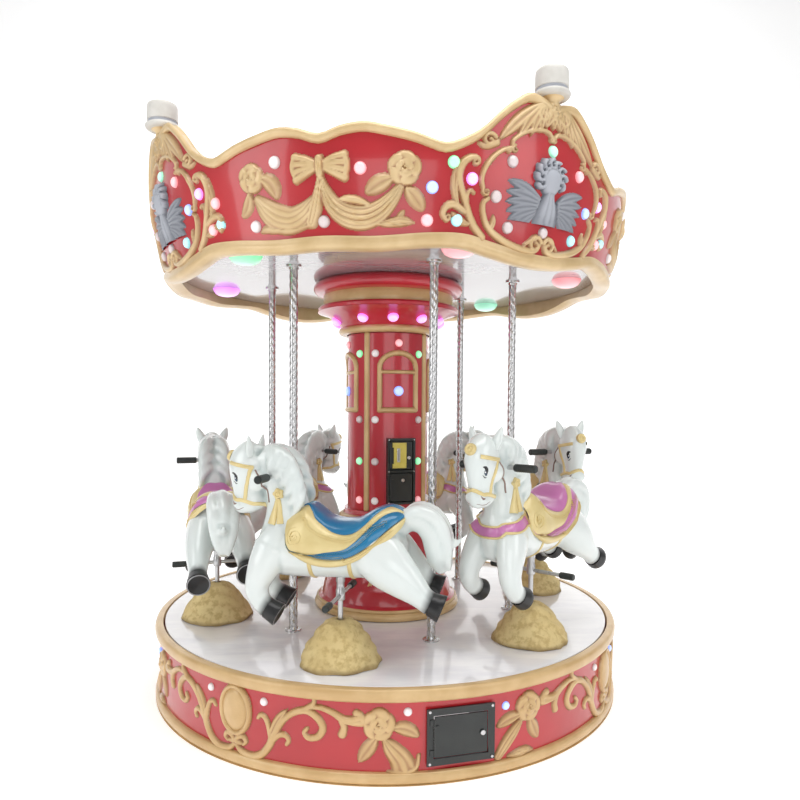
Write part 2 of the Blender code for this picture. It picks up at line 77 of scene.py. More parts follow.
class Finish:
    """A material whose look is built up from nodes."""

    def __init__(self, name, **fixed):
        self.material = bpy.data.materials.new(name)
        self.material.use_nodes = True
        self.tree = self.material.node_tree
        self.shader = self.tree.nodes["Principled BSDF"]
        self.set(**fixed)

    def set(self, **sockets):
        for name, value in sockets.items():
            self.feed(self.shader.inputs[name.replace("_", " ")], value)
        return self

    def feed(self, socket, value):
        if isinstance(value, Value):
            self.tree.links.new(value.socket, socket)
        elif isinstance(value, tuple) and len(value) == 3 and socket.type == "RGBA":
            socket.default_value = (*value, 1.0)
        else:
            socket.default_value = value

    def node(self, kind, settings, sockets, output=0):
        """Any node: its settings come first, then its sockets by place or by name."""
        made = self.tree.nodes.new(kind)
        for name, value in settings.items():
            setattr(made, name, value)
        named = sockets.items() if isinstance(sockets, dict) else enumerate(sockets)
        for name, value in named:
            found = [s for s in made.inputs if s.enabled and s.name == name]
            self.feed(found[0] if found else made.inputs[name], value)
        if isinstance(output, str):
            return Value(self, made.outputs[output])
        return Value(self, [s for s in made.outputs if s.enabled][output])

    def mix(self, share, first, second):
        return self.node("ShaderNodeMix", {"data_type": "RGBA"},
                         {"Factor": share, "A": first, "B": second})

    def noise(self, scale, detail=3.0, roughness=0.5, stretch=(1, 1, 1)):
        where = self.node("ShaderNodeMapping", {}, {"Vector": self.place(), "Scale": stretch})
        return self.node("ShaderNodeTexNoise", {}, {"Vector": where, "Scale": scale,
                                                   "Detail": detail, "Roughness": roughness})

    def place(self):
        return self.node("ShaderNodeTexCoord", {}, {}, "Object")

    def painted(self, name):
        """A number stored with the mesh, such as how high a moulding stands."""
        return self.node("ShaderNodeAttribute", {"attribute_name": name}, {}, "Fac")

    def rough(self, height, distance, strength=1.0):
        """Unevenness of the surface, with a height that changes over it."""
        bump = self.node("ShaderNodeBump", {}, {"Height": height, "Distance": distance,
                                               "Strength": strength})
        return self.set(Normal=bump)


def lacquer(name, color, deep):
    """Sprayed colour under clear gloss, a little uneven as on hand-laid fibreglass."""
    finish = Finish(name, Coat_Weight=0.8, Coat_Roughness=0.09)
    cloud = finish.noise(2.6, 2.0)
    fine = finish.noise(38.0, 2.0)
    finish.set(Base_Color=finish.mix(cloud.between(0.35, 0.72), deep, color),
               Roughness=0.26 + 0.12 * fine)
    return finish.rough(finish.noise(14.0, 1.0), 0.0012).material


def gold_paint(name, foot_shade, body, bright):
    """Satin gold paint, darker at the foot of a moulding and in the valleys of its folds: painted shade."""
    finish = Finish(name, Metallic=0.22, Coat_Weight=0.6, Coat_Roughness=0.14)
    height = finish.painted("height")
    cloud = finish.noise(9.0, 3.0)
    thick = finish.mix(cloud.between(0.35, 0.7), body, bright)
    # Low on a moulding and in fold valleys the colour turns dark brown: painted shade.
    color = finish.mix(height.between(0.0, 0.55), foot_shade, thick)
    finish.set(Base_Color=color, Roughness=0.36 + 0.18 * cloud)
    return finish.rough(finish.noise(120.0, 2.0), 0.0006).material


red = lacquer("red lacquer", (0.57, 0.018, 0.026), (0.48, 0.011, 0.019))
gold = gold_paint("gold paint", (0.38, 0.180, 0.075), (0.62, 0.405, 0.175), (0.72, 0.500, 0.240))


def drawn(points, steps=8):
    """Smooth curve through points of any kind, each a row of numbers."""
    points = np.asarray(points, float)
    padded = np.vstack([2 * points[0] - points[1], points, 2 * points[-1] - points[-2]])
    t = np.linspace(0, 1, steps, endpoint=False)[:, None]
    runs = []
    for a, b, c, d in zip(padded, padded[1:], padded[2:], padded[3:]):
        runs.append(b + 0.5 * t * (c - a + t * (2 * a - 5 * b + 4 * c - d + t * (3 * (b - c) + d - a))))
    return np.vstack([*runs, points[-1:]])


class Form:
    """A mesh that is gathered from grids of points before it becomes one piece."""

    def __init__(self):
        self.points = []
        self.faces = []
        self.heights = []
        self.kinds = []
        self.count = 0

    def skin(self, rows, around=False, across=False, height=1.0, kind=0):
        """Four-sided faces over rows of points; they may close around the rows or across them."""
        rows = np.asarray(rows, float)
        index = np.arange(rows.shape[0] * rows.shape[1]).reshape(rows.shape[:2]) + self.count
        if around:
            index = np.vstack([index, index[:1]])
        if across:
            index = np.hstack([index, index[:, :1]])
        quads = np.stack([index[:-1, :-1], index[1:, :-1], index[1:, 1:], index[:-1, 1:]], -1)
        self.add(rows.reshape(-1, 3), quads.reshape(-1, 4), height, kind, False)
        return self

    def add(self, points, faces, height=1.0, kind=0, shift=True):
        points = np.asarray(points, float)
        faces = np.asarray(faces)
        self.faces.append(faces + self.count if shift else faces)
        self.points.append(points)
        self.heights.append(np.broadcast_to(height, len(points)))
        self.kinds.append(np.full(len(faces), kind))
        self.count += len(points)
        return self

    def moved(self, matrix):
        """The same form at another place."""
        other = Form()
        turn = np.array(matrix)
        other.points = [p @ turn[:3, :3].T + turn[:3, 3] for p in self.points]
        other.faces, other.heights, other.kinds = self.faces, self.heights, self.kinds
        other.count = self.count
        return other

    def paint(self, kind):
        """The same form in one of its materials all over."""
        self.kinds = [np.full(len(faces), kind) for faces in self.faces]
        return self

    def join(self, other):
        for points, faces, height, kind in zip(other.points, other.faces, other.heights, other.kinds):
            self.points.append(points)
            self.faces.append(faces + self.count)
            self.heights.append(height)
            self.kinds.append(kind)
        self.count += other.count
        return self

    def mesh(self, name, materials, crease=40):
        mesh = bpy.data.meshes.new(name)
        faces = [tuple(face) for part in self.faces for face in part.tolist()]
        mesh.from_pydata(np.vstack(self.points).tolist(), [], faces)
        mesh.attributes.new("height", "FLOAT", "POINT").data.foreach_set(
            "value", np.concatenate(self.heights).astype(np.float32))
        for material in materials:
            mesh.materials.append(material)
        mesh.polygons.foreach_set("material_index", np.concatenate(self.kinds).astype(np.int32))
        mesh.validate()
        mesh.shade_smooth()
        mesh.set_sharp_from_angle(angle=math.radians(crease))
        return mesh


def show(name, mesh, body, nodes=(), matrix=None):
    """Puts a mesh into the scene on the body that it moves with, in place of its plain solids."""
    thing = bpy.data.objects.new(name.replace(" ", "_"), mesh)
    bpy.context.scene.collection.objects.link(thing)
    if matrix is not None:
        thing.matrix_world = matrix
    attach(thing, body)
    if nodes:
        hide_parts(*nodes)
    return thing


def cast(name, form, paints, body, nodes=(), crease=40):
    """Shows a form that is made and used once."""
    return show(name, form.mesh(name, paints, crease), body, nodes)


def at(azimuth, radius=0.0, height=0.0):
    """Matrix that puts what faces -Y at an azimuth, a radius and a height."""
    return Matrix.Rotation(math.radians(azimuth), 4, "Z") @ Matrix.Translation((0, -radius, height))


def ringed(angle, radius, level):
    """Points round Z, from angles in radians with radii and heights."""
    return np.stack(np.broadcast_arrays(radius * np.sin(angle), -radius * np.cos(angle), level), -1)


def lathe(profile, sides=160, height=1.0):
    """Form turned about Z from radius and height points, with the outer side going up."""
    angle = np.linspace(0, math.tau, sides, endpoint=False)[:, None]
    radius, level = np.asarray(profile, float).T
    return Form().skin(ringed(angle, radius, level), around=True, height=height)


def arc(x, y, wide, high, start, end, steps=8):
    """Points of an elliptical arc in an outline, with angles in degrees."""
    angles = np.radians(np.linspace(start, end, steps))
    return np.stack([x + wide * np.cos(angles), y + high * np.sin(angles)], -1)


DRUM = 1.080
DRUM_INSIDE = 1.055
DRUM_TOP = 0.290
DOOR_AZIMUTH = 14.2
DOORWAY_HALF = 0.103
DOORWAY_LOW, DOORWAY_HIGH = 0.086, 0.240

edge = math.degrees(DOORWAY_HALF / DRUM)
angle = np.radians(np.concatenate([
    [DOOR_AZIMUTH - edge, DOOR_AZIMUTH + edge],
    np.linspace(DOOR_AZIMUTH + edge, DOOR_AZIMUTH + 360 - edge, 190)[1:-1]]))[:, None]
level = np.array([0.0, DOORWAY_LOW, DOORWAY_HIGH, DRUM_TOP])
outside = ringed(angle, DRUM, level)
inside = ringed(angle, DRUM_INSIDE, level)
drum = Form()
for wall, way in ((outside, 1), (inside, -1)):
    for part in (wall[1:], np.vstack([wall[-1:], wall[:1]]), wall[:2, :2], wall[:2, 2:]):
        drum.skin(part[:, ::way])
drum.skin(np.stack([inside[:, 0], outside[:, 0]], 1), around=True)
for jamb in (0, 1):
    drum.skin(np.stack([outside[jamb, 1:3], inside[jamb, 1:3]]))
for sill in (1, 2):
    drum.skin(np.stack([outside[:2, sill], inside[:2, sill]]))
cast("skirt drum", drum, [red], "base", ["base_skirt"])


def carved(size, step, strokes, onto, foot=-0.0015):
    """Raised ornament on a wall, cut from a fine grid where the strokes stand above the wall.

    size is the plan's left, right, low and high edge. Each stroke has points with a half width
    and a height, ribs along it and how deep they are. onto takes plan places and heights to 3-D.
    """
    across = np.arange(size[0], size[1] + step, step)
    up = np.arange(size[2], size[3] + step, step)
    x, y = np.meshgrid(across, up)
    level = np.full(x.shape, -1.0)
    for points, ribs, depth in strokes:
        reach = max(point[2] for point in points) * 1.3
        near_x = [np.searchsorted(across, f(p[0] for p in points) + s * reach)
                  for f, s in ((min, -1), (max, 1))]
        near_y = [np.searchsorted(up, f(p[1] for p in points) + s * reach)
                  for f, s in ((min, -1), (max, 1))]
        part = np.s_[near_y[0]:near_y[1], near_x[0]:near_x[1]]
        px, py = x[part], y[part]
        best = np.full(px.shape, 9.0)
        made = np.full(px.shape, -1.0)
        for (ax, ay, aw, ah), (bx, by, bw, bh) in zip(points, points[1:]):
            dx, dy = bx - ax, by - ay
            length = max(dx * dx + dy * dy, 1e-12)
            t = np.clip(((px - ax) * dx + (py - ay) * dy) / length, 0, 1)
            off_x, off_y = px - ax - t * dx, py - ay - t * dy
            away = np.hypot(off_x, off_y) * np.where(dx * off_y - dy * off_x < 0, -1, 1)
            share = away / (aw + t * (bw - aw))
            room = 1 - share * share
            height = (ah + t * (bh - ah)) * np.sign(room) * np.abs(room) ** 0.6
            height *= 1 + 1.4 * depth * np.cos(ribs * math.pi * np.clip(share, -1, 1))
            closer = np.abs(share) < best
            best[closer] = np.abs(share)[closer]
            made[closer] = height[closer]
        level[part] = np.maximum(level[part], made)
    top = level.max()
    # Fold valleys lower the height value that the paint reads, so they turn darker: painted shade.
    eased = np.maximum(level, 0)
    for axis in (0, 1) * 5:
        eased = (eased + np.roll(eased, 1, axis) + np.roll(eased, -1, axis)) / 3
    fold_shade = 1 - 0.8 * np.clip((eased - level) / (0.11 * top), 0, 1)
    inside = level > 0
    keep = inside[:-1, :-1] | inside[1:, :-1] | inside[:-1, 1:] | inside[1:, 1:]
    row, column = np.nonzero(keep)
    width = x.shape[1]
    corner = row * width + column
    faces = np.stack([corner, corner + 1, corner + width + 1, corner + width], -1)
    used, faces = np.unique(faces, return_inverse=True)
    faces = faces.reshape(-1, 4)
    height = np.clip(level.ravel()[used], foot, None)
    places = onto(x.ravel()[used], y.ravel()[used], height)
    return Form().add(places, faces, height=height / top * fold_shade.ravel()[used])


def stroke(points, ribs=0, depth=0.0, steps=7):
    """Band of ornament along points of place, half width and height."""
    return drawn(points, steps).tolist(), ribs, depth


def leaf(x, y, angle, length, wide, high=0.011, bend=0.0):
    """Pointed leaf with a vein, from its foot along an angle."""
    points = []
    for t in np.linspace(0, 1, 9):
        turn = math.radians(angle + bend * t)
        points.append((x + t * length * math.cos(turn), y + t * length * math.sin(turn),
                       0.0015 + wide * math.sin(math.pi * min(t * 0.94 + 0.06, 1)) ** 0.8,
                       high * (1 - 0.35 * t)))
    return points, 2, -0.16


def curl(x, y, start, turns, big, wide, high=0.012, sign=1):
    """Scroll that winds in to an eye from an angle."""
    points = []
    for t in np.linspace(0, 1, 22):
        turn = math.radians(start) + sign * t * turns * math.tau
        reach = big * (1 - t) ** 0.75 + wide * 0.25
        points.append((x + reach * math.cos(turn), y + reach * math.sin(turn),
                       wide * (1 - 0.45 * t), high * (1 - 0.25 * t)))
    return points, 0, 0.0


def rose(x, y, size, high=0.020):
    """Full rose: five rolled petals round a ring of three and a coiled heart."""
    pad = [(x + side * 0.001, y, 0.80 * size, high * 0.5) for side in (-1, 1)]
    strokes = [(pad, 0, 0.0)]
    for count, reach, wide, rise, start in ((5, 0.60, 0.34, 0.95, 54), (3, 0.30, 0.23, 1.2, 10)):
        for k in range(count):
            turn = start + 360 / count * k
            line = arc(x, y, reach * size, reach * size, turn, turn + 320 / count, 6)
            petal = [(ax, ay, wide * size * (0.78 + 0.22 * math.sin(math.pi * i / 5)),
                      high * (rise - 0.36 * i / 5)) for i, (ax, ay) in enumerate(line)]
            strokes.append((petal, 1, -0.12))
    strokes.append(curl(x, y, 200, 0.9, 0.13 * size, 0.11 * size, high * 1.25))
    return strokes


# Base ornament: four like quarters of gold scrolls that meet under a polished oval, with a rose
# and a swag of cloth on both sides of the door. Cast with the skirt and painted gold by hand.
def both(strokes):
    """The same strokes with their mirror images across the middle."""
    flipped = []
    for points, ribs, depth in strokes:
        flipped.append(([(-p[0], *p[1:]) for p in points], ribs, depth))
    return strokes + flipped


def on_drum(x, y, height):
    """Plan place on the skirt: x runs round it and y up it."""
    return ringed(x / DRUM, DRUM + height, y)


def quarters(azimuth, *parts):
    """Four copies of each part round the ride, a quarter turn apart."""
    group = Form()
    for k in range(4):
        for part in parts:
            group.join(part.moved(at(azimuth + 90 * k)))
    return group


scrolls = [
    stroke([(0.026, 0.080, 0.010, 0.010), (0.006, 0.083, 0.010, 0.012), (0.014, 0.101, 0.011, 0.014),
            (0.038, 0.106, 0.011, 0.013), (0.050, 0.090, 0.009, 0.011), (0.038, 0.076, 0.007, 0.009)]),
    stroke([(0.004, 0.070, 0.009, 0.010), (0.030, 0.050, 0.013, 0.013), (0.077, 0.043, 0.014, 0.014),
            (0.121, 0.060, 0.015, 0.014), (0.151, 0.097, 0.015, 0.014), (0.166, 0.130, 0.016, 0.013),
            (0.187, 0.167, 0.013, 0.013), (0.213, 0.203, 0.012, 0.013), (0.252, 0.234, 0.013, 0.014),
            (0.300, 0.245, 0.014, 0.013), (0.340, 0.222, 0.014, 0.012), (0.358, 0.188, 0.014, 0.012),
            (0.340, 0.156, 0.013, 0.012), (0.306, 0.149, 0.011, 0.012), (0.290, 0.166, 0.009, 0.011),
            (0.300, 0.181, 0.008, 0.010)]),
    stroke([(0.272, 0.240, 0.009, 0.011), (0.305, 0.258, 0.011, 0.012), (0.326, 0.277, 0.009, 0.011),
            (0.322, 0.297, 0.007, 0.008), (0.306, 0.296, 0.003, 0.005)]),
    stroke([(0.305, 0.256, 0.006, 0.010), (0.345, 0.262, 0.010, 0.012), (0.392, 0.248, 0.012, 0.012),
            (0.430, 0.227, 0.015, 0.013), (0.462, 0.222, 0.018, 0.014), (0.492, 0.226, 0.026, 0.013)],
           2, -0.12),
    stroke([(0.425, 0.222, 0.012, 0.012), (0.434, 0.198, 0.013, 0.012), (0.428, 0.172, 0.016, 0.010)],
           2, -0.1),
    stroke([(0.160, 0.120, 0.012, 0.012), (0.150, 0.165, 0.011, 0.012), (0.136, 0.195, 0.010, 0.012),
            (0.116, 0.203, 0.009, 0.011), (0.104, 0.190, 0.008, 0.009)]),
    stroke([(0.166, 0.118, 0.010, 0.011), (0.190, 0.142, 0.012, 0.012), (0.216, 0.146, 0.011, 0.011),
            (0.230, 0.130, 0.009, 0.010), (0.222, 0.114, 0.008, 0.009)]),
    leaf(0.160, 0.128, 78, 0.130, 0.016, 0.013, -18),
    stroke([(0.478, 0.250, 0.014, 0.012), (0.492, 0.246, 0.011, 0.010)], steps=1),
]
OVAL_HEIGHT = 0.200
ring = [(x, y, 0.0105, 0.017) for x, y in arc(0, OVAL_HEIGHT, 0.066, 0.086, 0, 360, 48)]
door_side = rose(-0.292, 0.212, 0.064) + rose(0.278, 0.218, 0.062)
door_side += [
    leaf(-0.302, 0.165, 236, 0.105, 0.026), leaf(-0.240, 0.200, 8, 0.095, 0.026, 0.012, -30),
    leaf(0.236, 0.196, 186, 0.100, 0.024, 0.012, 12), leaf(0.286, 0.170, 296, 0.090, 0.026),
    stroke([(-0.272, 0.160, 0.010, 0.012), (-0.246, 0.126, 0.030, 0.014), (-0.216, 0.088, 0.040, 0.013),
            (-0.200, 0.050, 0.048, 0.010)], 3, 0.16),
    stroke([(-0.262, 0.046, 0.004, 0.006), (-0.232, 0.045, 0.009, 0.010), (-0.190, 0.044, 0.010, 0.012),
            (-0.160, 0.062, 0.009, 0.012), (-0.152, 0.100, 0.007, 0.010)]),
    stroke([(0.248, 0.180, 0.008, 0.012), (0.214, 0.140, 0.022, 0.014), (0.180, 0.100, 0.024, 0.013),
            (0.148, 0.058, 0.018, 0.009)], 3, 0.16),
    stroke([(0.190, 0.050, 0.006, 0.008), (0.232, 0.054, 0.016, 0.012), (0.268, 0.058, 0.015, 0.012),
            (0.302, 0.050, 0.004, 0.006)], 3, 0.14),
]
STEP = 0.0037
oval_field = carved((-0.56, 0.56, 0.034, 0.300), STEP, both(scrolls) + [(ring, 0, 0.0)], on_drum)
door_field = carved((-0.38, 0.36, 0.030, 0.290), STEP, door_side, on_drum)
plate = [(0.062, 0.003), (0.060, 0.0085), (0.046, 0.015), (0.026, 0.0185), (0.0, 0.0195)]
angle = np.linspace(0, math.tau, 48, endpoint=False)[:, None]
reach, rise = np.array(plate).T
turn = angle + 0 * reach
oval = on_drum(reach * np.cos(turn), OVAL_HEIGHT + reach * 1.32 * np.sin(turn), rise + 0 * turn)
OVAL_AZIMUTH = DOOR_AZIMUTH - 45
ornament = quarters(OVAL_AZIMUTH, oval_field, Form().skin(oval[::-1], around=True))
ornament.join(quarters(DOOR_AZIMUTH, door_field))
cast("base ornament", ornament, [gold], "base", crease=60)


# Rims of the base: rounded fibreglass mouldings that cover the skirt's upper and lower edges. They
# are screwed on from behind and painted gold.
DECK_EDGE = 1.0585
top_rim = lathe([(DRUM, 0.2915), (1.0905, 0.2915), *arc(1.089, 0.3145, 0.0110, 0.0225, -80, 86, 12),
                 (1.078, 0.3385), (1.066, 0.3375), (DECK_EDGE + 0.006, 0.334),
                 (DECK_EDGE + 0.006, 0.310)], 200, 0.8)
foot_rim = lathe([(DRUM, 0.0005), (1.0995, 0.0005), *arc(1.089, 0.022, 0.011, 0.020, -75, 86, 12),
                  (DRUM, 0.0435)], 200, 0.8)
cast("upper rim", top_rim, [gold], "base", ["base_top_rim"])
cast("lower rim", foot_rim, [gold], "base", ["base_bottom_rim"])


# Lamps: small frosted plastic domes with a coloured light in each. They are pushed into holes from
# the front and held by a lip.
def lamp_finish(name, color, glow):
    finish = Finish(name, Coat_Weight=0.6, Coat_Roughness=0.1, Emission_Strength=glow)
    edge = finish.painted("height").between(0.05, 0.9)
    pale = tuple(0.28 + 0.72 * c for c in color)
    deep = tuple(0.60 * c + 0.06 for c in color)
    shade = finish.mix(edge, deep, pale)
    dapple = finish.noise(260.0, 1.0)
    return finish.set(Base_Color=shade, Emission_Color=finish.mix(edge, color, pale),
                      Roughness=0.22 + 0.2 * dapple).material


LAMP_COLORS = {
    "white": ((0.92, 0.84, 0.84), 0.12), "pink": ((1.0, 0.34, 0.38), 0.55),
    "mint": ((0.36, 0.95, 0.66), 0.50), "blue": ((0.20, 0.36, 1.0), 0.90),
    "cyan": ((0.32, 0.88, 0.96), 0.45), "violet": ((0.78, 0.24, 0.98), 1.00),
    "grey": ((0.72, 0.58, 0.58), 0.03), "green": ((0.18, 0.90, 0.38), 0.70),
}
lamp_paints = {name: lamp_finish(f"{name} lamp", *look) for name, look in LAMP_COLORS.items()}
lamp_kinds = list(lamp_paints)


def faced(profile, sides, height=1.0):
    """Form turned about Y from radius and height points, so that it faces -Y."""
    angle = np.linspace(0, math.tau, sides, endpoint=False)[:, None]
    reach, rise = np.array(profile).T
    rows = np.stack([reach * np.cos(angle), -rise + 0 * angle, reach * np.sin(angle)], -1)
    return Form().skin(rows[::-1], around=True, height=height)


def lamp(radius, sides=16):
    """Dome with a low rim, which glows most at its crown."""
    dome = 0.93 * radius
    crown = 0.62 * radius
    profile = [(radius, -0.003), (radius, 0.001), (dome, 0.0028)]
    profile += [(dome * math.cos(a), 0.0028 + crown * math.sin(a))
                for a in np.linspace(0.15, math.pi / 2 - 0.02, 6)]
    rise = np.array(profile)[:, 1]
    return faced(profile, sides, np.clip(np.tile(rise / crown, sides), 0, 1))


def lamps(places, radius, onto):
    """Lamps of several colours in one form: each place has a plan point and a colour."""
    group = Form()
    one = lamp(radius)
    for x, y, color in places:
        here, right, up = (onto(np.array(p[0]), np.array(p[1]), np.array(0.0))
                           for p in ((x, y), (x + 0.001, y), (x, y + 0.001)))
        across = Vector(right - here).normalized()
        rise = Vector(up - here).normalized()
        turn = Matrix((across, rise.cross(across), rise)).transposed().to_4x4()
        turn.translation = Vector(here)
        group.join(one.moved(turn).paint(lamp_kinds.index(color)))
    return group


BASE_LAMP = 0.0155
base_lamps = Form()
sequence = (("white", "white"), ("white", "blue"), ("pink", "cyan"), ("white", "pink"))
for k, (left, right) in enumerate(sequence):
    row = lamps([(-0.131, 0.252, left), (0.128, 0.252, right)], BASE_LAMP, on_drum)
    base_lamps.join(row.moved(at(OVAL_AZIMUTH + 90 * k)))
    row = lamps([(-0.191, 0.255, "white"), (0.178, 0.238, "blue")], BASE_LAMP, on_drum)
    base_lamps.join(row.moved(at(DOOR_AZIMUTH + 90 * k)))
lamp_list = list(lamp_paints.values())
cast("base lamps", base_lamps, lamp_list, "base")


# Access door: sheet steel, powder coated black, hinged on its left in a border that four screws
# hold. A lock barrel sits near its right edge.
def powder_coat(name, coat=0.35):
    finish = Finish(name, Coat_Weight=coat, Coat_Roughness=0.18)
    cloud = finish.noise(6.0, 3.0)
    color = finish.mix(cloud.between(0.3, 0.75), (0.010, 0.013, 0.012), (0.022, 0.027, 0.025))
    finish.set(Base_Color=color, Roughness=0.24 + 0.25 * cloud)
    return finish.rough(finish.noise(420.0, 1.0), 0.0002).material


def bright_steel(name, tone=0.62, rough=0.16):
    finish = Finish(name, Metallic=1.0)
    cloud = finish.noise(30.0, 3.0, stretch=(1, 1, 0.15))
    light = tuple(min(tone + d, 1.0) for d in (0.10, 0.10, 0.11))
    finish.set(Base_Color=finish.mix(cloud, (tone, tone, tone), light), Roughness=rough + 0.22 * cloud)
    return finish.material


black = powder_coat("black powder coat")
steel = bright_steel("bright steel")
for node in ("base_door_frame", "base_door", "coin_panel", "cash_box_door", "coin_door"):
    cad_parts[node].material_slots[0].link = "OBJECT"
    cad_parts[node].material_slots[0].material = black


def button(radius, high, recess=0.0, sides=20):
    """Round head facing -Y, with a recess in its middle."""
    profile = [(radius, -0.001), (radius, high * 0.55), (radius * 0.86, high), (radius * 0.45, high)]
    return faced([*profile, (radius * 0.40, high - recess), (0.0, high - recess)], sides)


def moved_to(x, y, z):
    return Matrix.Translation((x, y, z))


DOOR_FACE = 1.0885
LOCK_FACE = 1.0925
screw = button(0.0052, 0.0028, 0.0014)
screws = Form()
for x in (-0.117, 0.117):
    for z in (0.071, 0.255):
        screws.join(screw.moved(at(DOOR_AZIMUTH, DOOR_FACE) @ moved_to(x, 0, z)))
cast("door frame screws", screws, [steel], "base")
lock = button(0.0092, 0.0028, 0.0012).moved(at(DOOR_AZIMUTH, LOCK_FACE) @ moved_to(0.080, 0, 0.163))
cast("door lock", lock, [steel], "base_door")


# Platform: a round plywood deck under polished white enamel. It turns inside the base's rim and
# carries the column, the poles and the horses.
def enamel(name, white, cool, gloss=0.12, coat=0.8):
    finish = Finish(name, Coat_Weight=coat, Coat_Roughness=0.05)
    cloud = finish.noise(2.2, 4.0, 0.6)
    streak = finish.noise(7.0, 3.0, 0.6, (0.5, 1.6, 1.0))
    finish.set(Base_Color=finish.mix((cloud * streak).between(0.16, 0.36), cool, white),
               Roughness=gloss + 0.15 * cloud)
    return finish.rough(streak, 0.0010).material


deck_white = enamel("white deck enamel", (0.90, 0.885, 0.885), (0.79, 0.775, 0.80))
DECK = 0.3355
deck = lathe([(0.0, 0.3055), (1.050, 0.3055), (1.0575, 0.308),
              *arc(1.0545, DECK - 0.003, 0.003, 0.003, 0, 90, 4), (0.0, DECK)], 200)
cast("deck", deck, [deck_white], "turntable", ["platform_deck"])


# Column: fibreglass drums round a steel core, stacked as plinth, shaft and capital, lacquered red
# with gold bands. Scrolls are cast round the plinth's foot.
dark_red = lacquer("column lacquer", (0.60, 0.018, 0.036), (0.48, 0.009, 0.024))
COLUMN_AZIMUTH = 15.0
SHAFT = 0.198
plinth = lathe([(0.345, 0.384), (0.322, 0.398), *arc(0.480, 0.560, 0.215, 0.172, 222, 180, 10)[1:],
                (0.245, 0.640), (0.224, 0.742), (0.219, 0.748)], 120)
plinth.join(lathe([(0.219, 0.795), (0.212, 0.802), (0.214, 0.8178), (0.10, 0.8178)], 120))
plinth_gold = lathe([(0.30, DECK), *arc(0.350, 0.352, 0.0085, 0.014, -88, 88, 8), (0.348, 0.369),
                     *arc(0.343, 0.379, 0.007, 0.008, -70, 100, 6), (0.330, 0.388)], 120, 0.8)
plinth_gold.join(lathe([(0.220, 0.746), *arc(0.2235, 0.757, 0.0105, 0.010, -88, 60, 6),
                        (0.2275, 0.768), *arc(0.2265, 0.780, 0.0120, 0.012, -60, 88, 7),
                        (0.214, 0.7955)], 120, 0.8))


def on_plinth(x, y, height):
    """Plan place on the plinth's flared foot, with the plan's height along the slope."""
    level = 0.400 + y
    radius = np.interp(level, [0.400, 0.430, 0.470, 0.520, 0.560], [0.321, 0.298, 0.281, 0.268, 0.266])
    return ringed(x / 0.30, radius + height, level)


foot_scroll = both([
    curl(0.042, 0.088, 160, 1.2, 0.024, 0.0085, 0.012, -1),
    stroke([(0.006, 0.055, 0.006, 0.008), (0.022, 0.072, 0.010, 0.012), (0.040, 0.110, 0.010, 0.012),
            (0.064, 0.108, 0.009, 0.012), (0.074, 0.084, 0.009, 0.011), (0.104, 0.060, 0.009, 0.011),
            (0.150, 0.052, 0.008, 0.010), (0.190, 0.056, 0.003, 0.005)]),
    leaf(0.058, 0.104, 62, 0.045, 0.009, 0.010, -30),
])
scroll_field = carved((-0.20, 0.20, 0.03, 0.16), 0.004, foot_scroll, on_plinth)
plinth_gold.join(quarters(COLUMN_AZIMUTH - 18, scroll_field))
cast("plinth", plinth, [dark_red], "turntable", ["column_plinth"], 30)
cast("plinth gold", plinth_gold, [gold], "turntable", crease=60)

SHAFT_LOW = 0.8183
SHAFT_HIGH = 1.664
COIN_AZIMUTH = 19.0
COIN_HALF = math.degrees(0.0700 / SHAFT)
COIN_LOW, COIN_HIGH = 0.853, 1.167
COIN_STEPS = 14
angle = np.radians(np.concatenate([
    np.linspace(COIN_AZIMUTH - COIN_HALF, COIN_AZIMUTH + COIN_HALF, COIN_STEPS),
    np.linspace(COIN_AZIMUTH + COIN_HALF, COIN_AZIMUTH + 360 - COIN_HALF, 130)[1:-1]]))[:, None]
rows = ringed(angle, SHAFT, np.array([SHAFT_LOW, COIN_LOW, COIN_HIGH, SHAFT_HIGH]))
shaft = Form().skin(rows[COIN_STEPS - 1:]).skin(np.vstack([rows[-1:], rows[:1]]))
shaft.skin(rows[:COIN_STEPS, :2]).skin(rows[:COIN_STEPS, 2:])
cast("shaft", shaft, [dark_red], "turntable", ["column_shaft"], 30)


def on_shaft(x, y, height):
    return ringed(x / SHAFT, SHAFT + height, y)


WINDOW_HALF = 0.091
WINDOW_FOOT, WINDOW_SPRING, BAR = 1.300, 1.500, 1.480
frame_line = [(-WINDOW_HALF, WINDOW_FOOT), (-WINDOW_HALF, WINDOW_SPRING - 0.01),
              *arc(0, WINDOW_SPRING, WINDOW_HALF, 0.070, 180, 0, 15), (WINDOW_HALF, WINDOW_FOOT)]
window = [(frame_line, 0.0125, 0.015),
          ([(-WINDOW_HALF, WINDOW_FOOT), (WINDOW_HALF, WINDOW_FOOT)], 0.0125, 0.015),
          ([(-WINDOW_HALF, BAR), (WINDOW_HALF, BAR)], 0.009, 0.011)]
window = [([(x, y, wide, high) for x, y in line], 0, 0.0) for line, wide, high in window]
strip = [([(0, y, 0.0150, 0.012) for y in (SHAFT_LOW + 0.008, SHAFT_HIGH - 0.006)], 1, 0.12)]
window_field = carved((-0.12, 0.12, 1.27, 1.60), 0.004, window, on_shaft)
strip_field = carved((-0.023, 0.023, SHAFT_LOW, SHAFT_HIGH), 0.004, strip, on_shaft)
shaft_gold = quarters(COLUMN_AZIMUTH, window_field).join(quarters(COLUMN_AZIMUTH + 45, strip_field))
cast("shaft gold", shaft_gold, [gold], "turntable", crease=60)

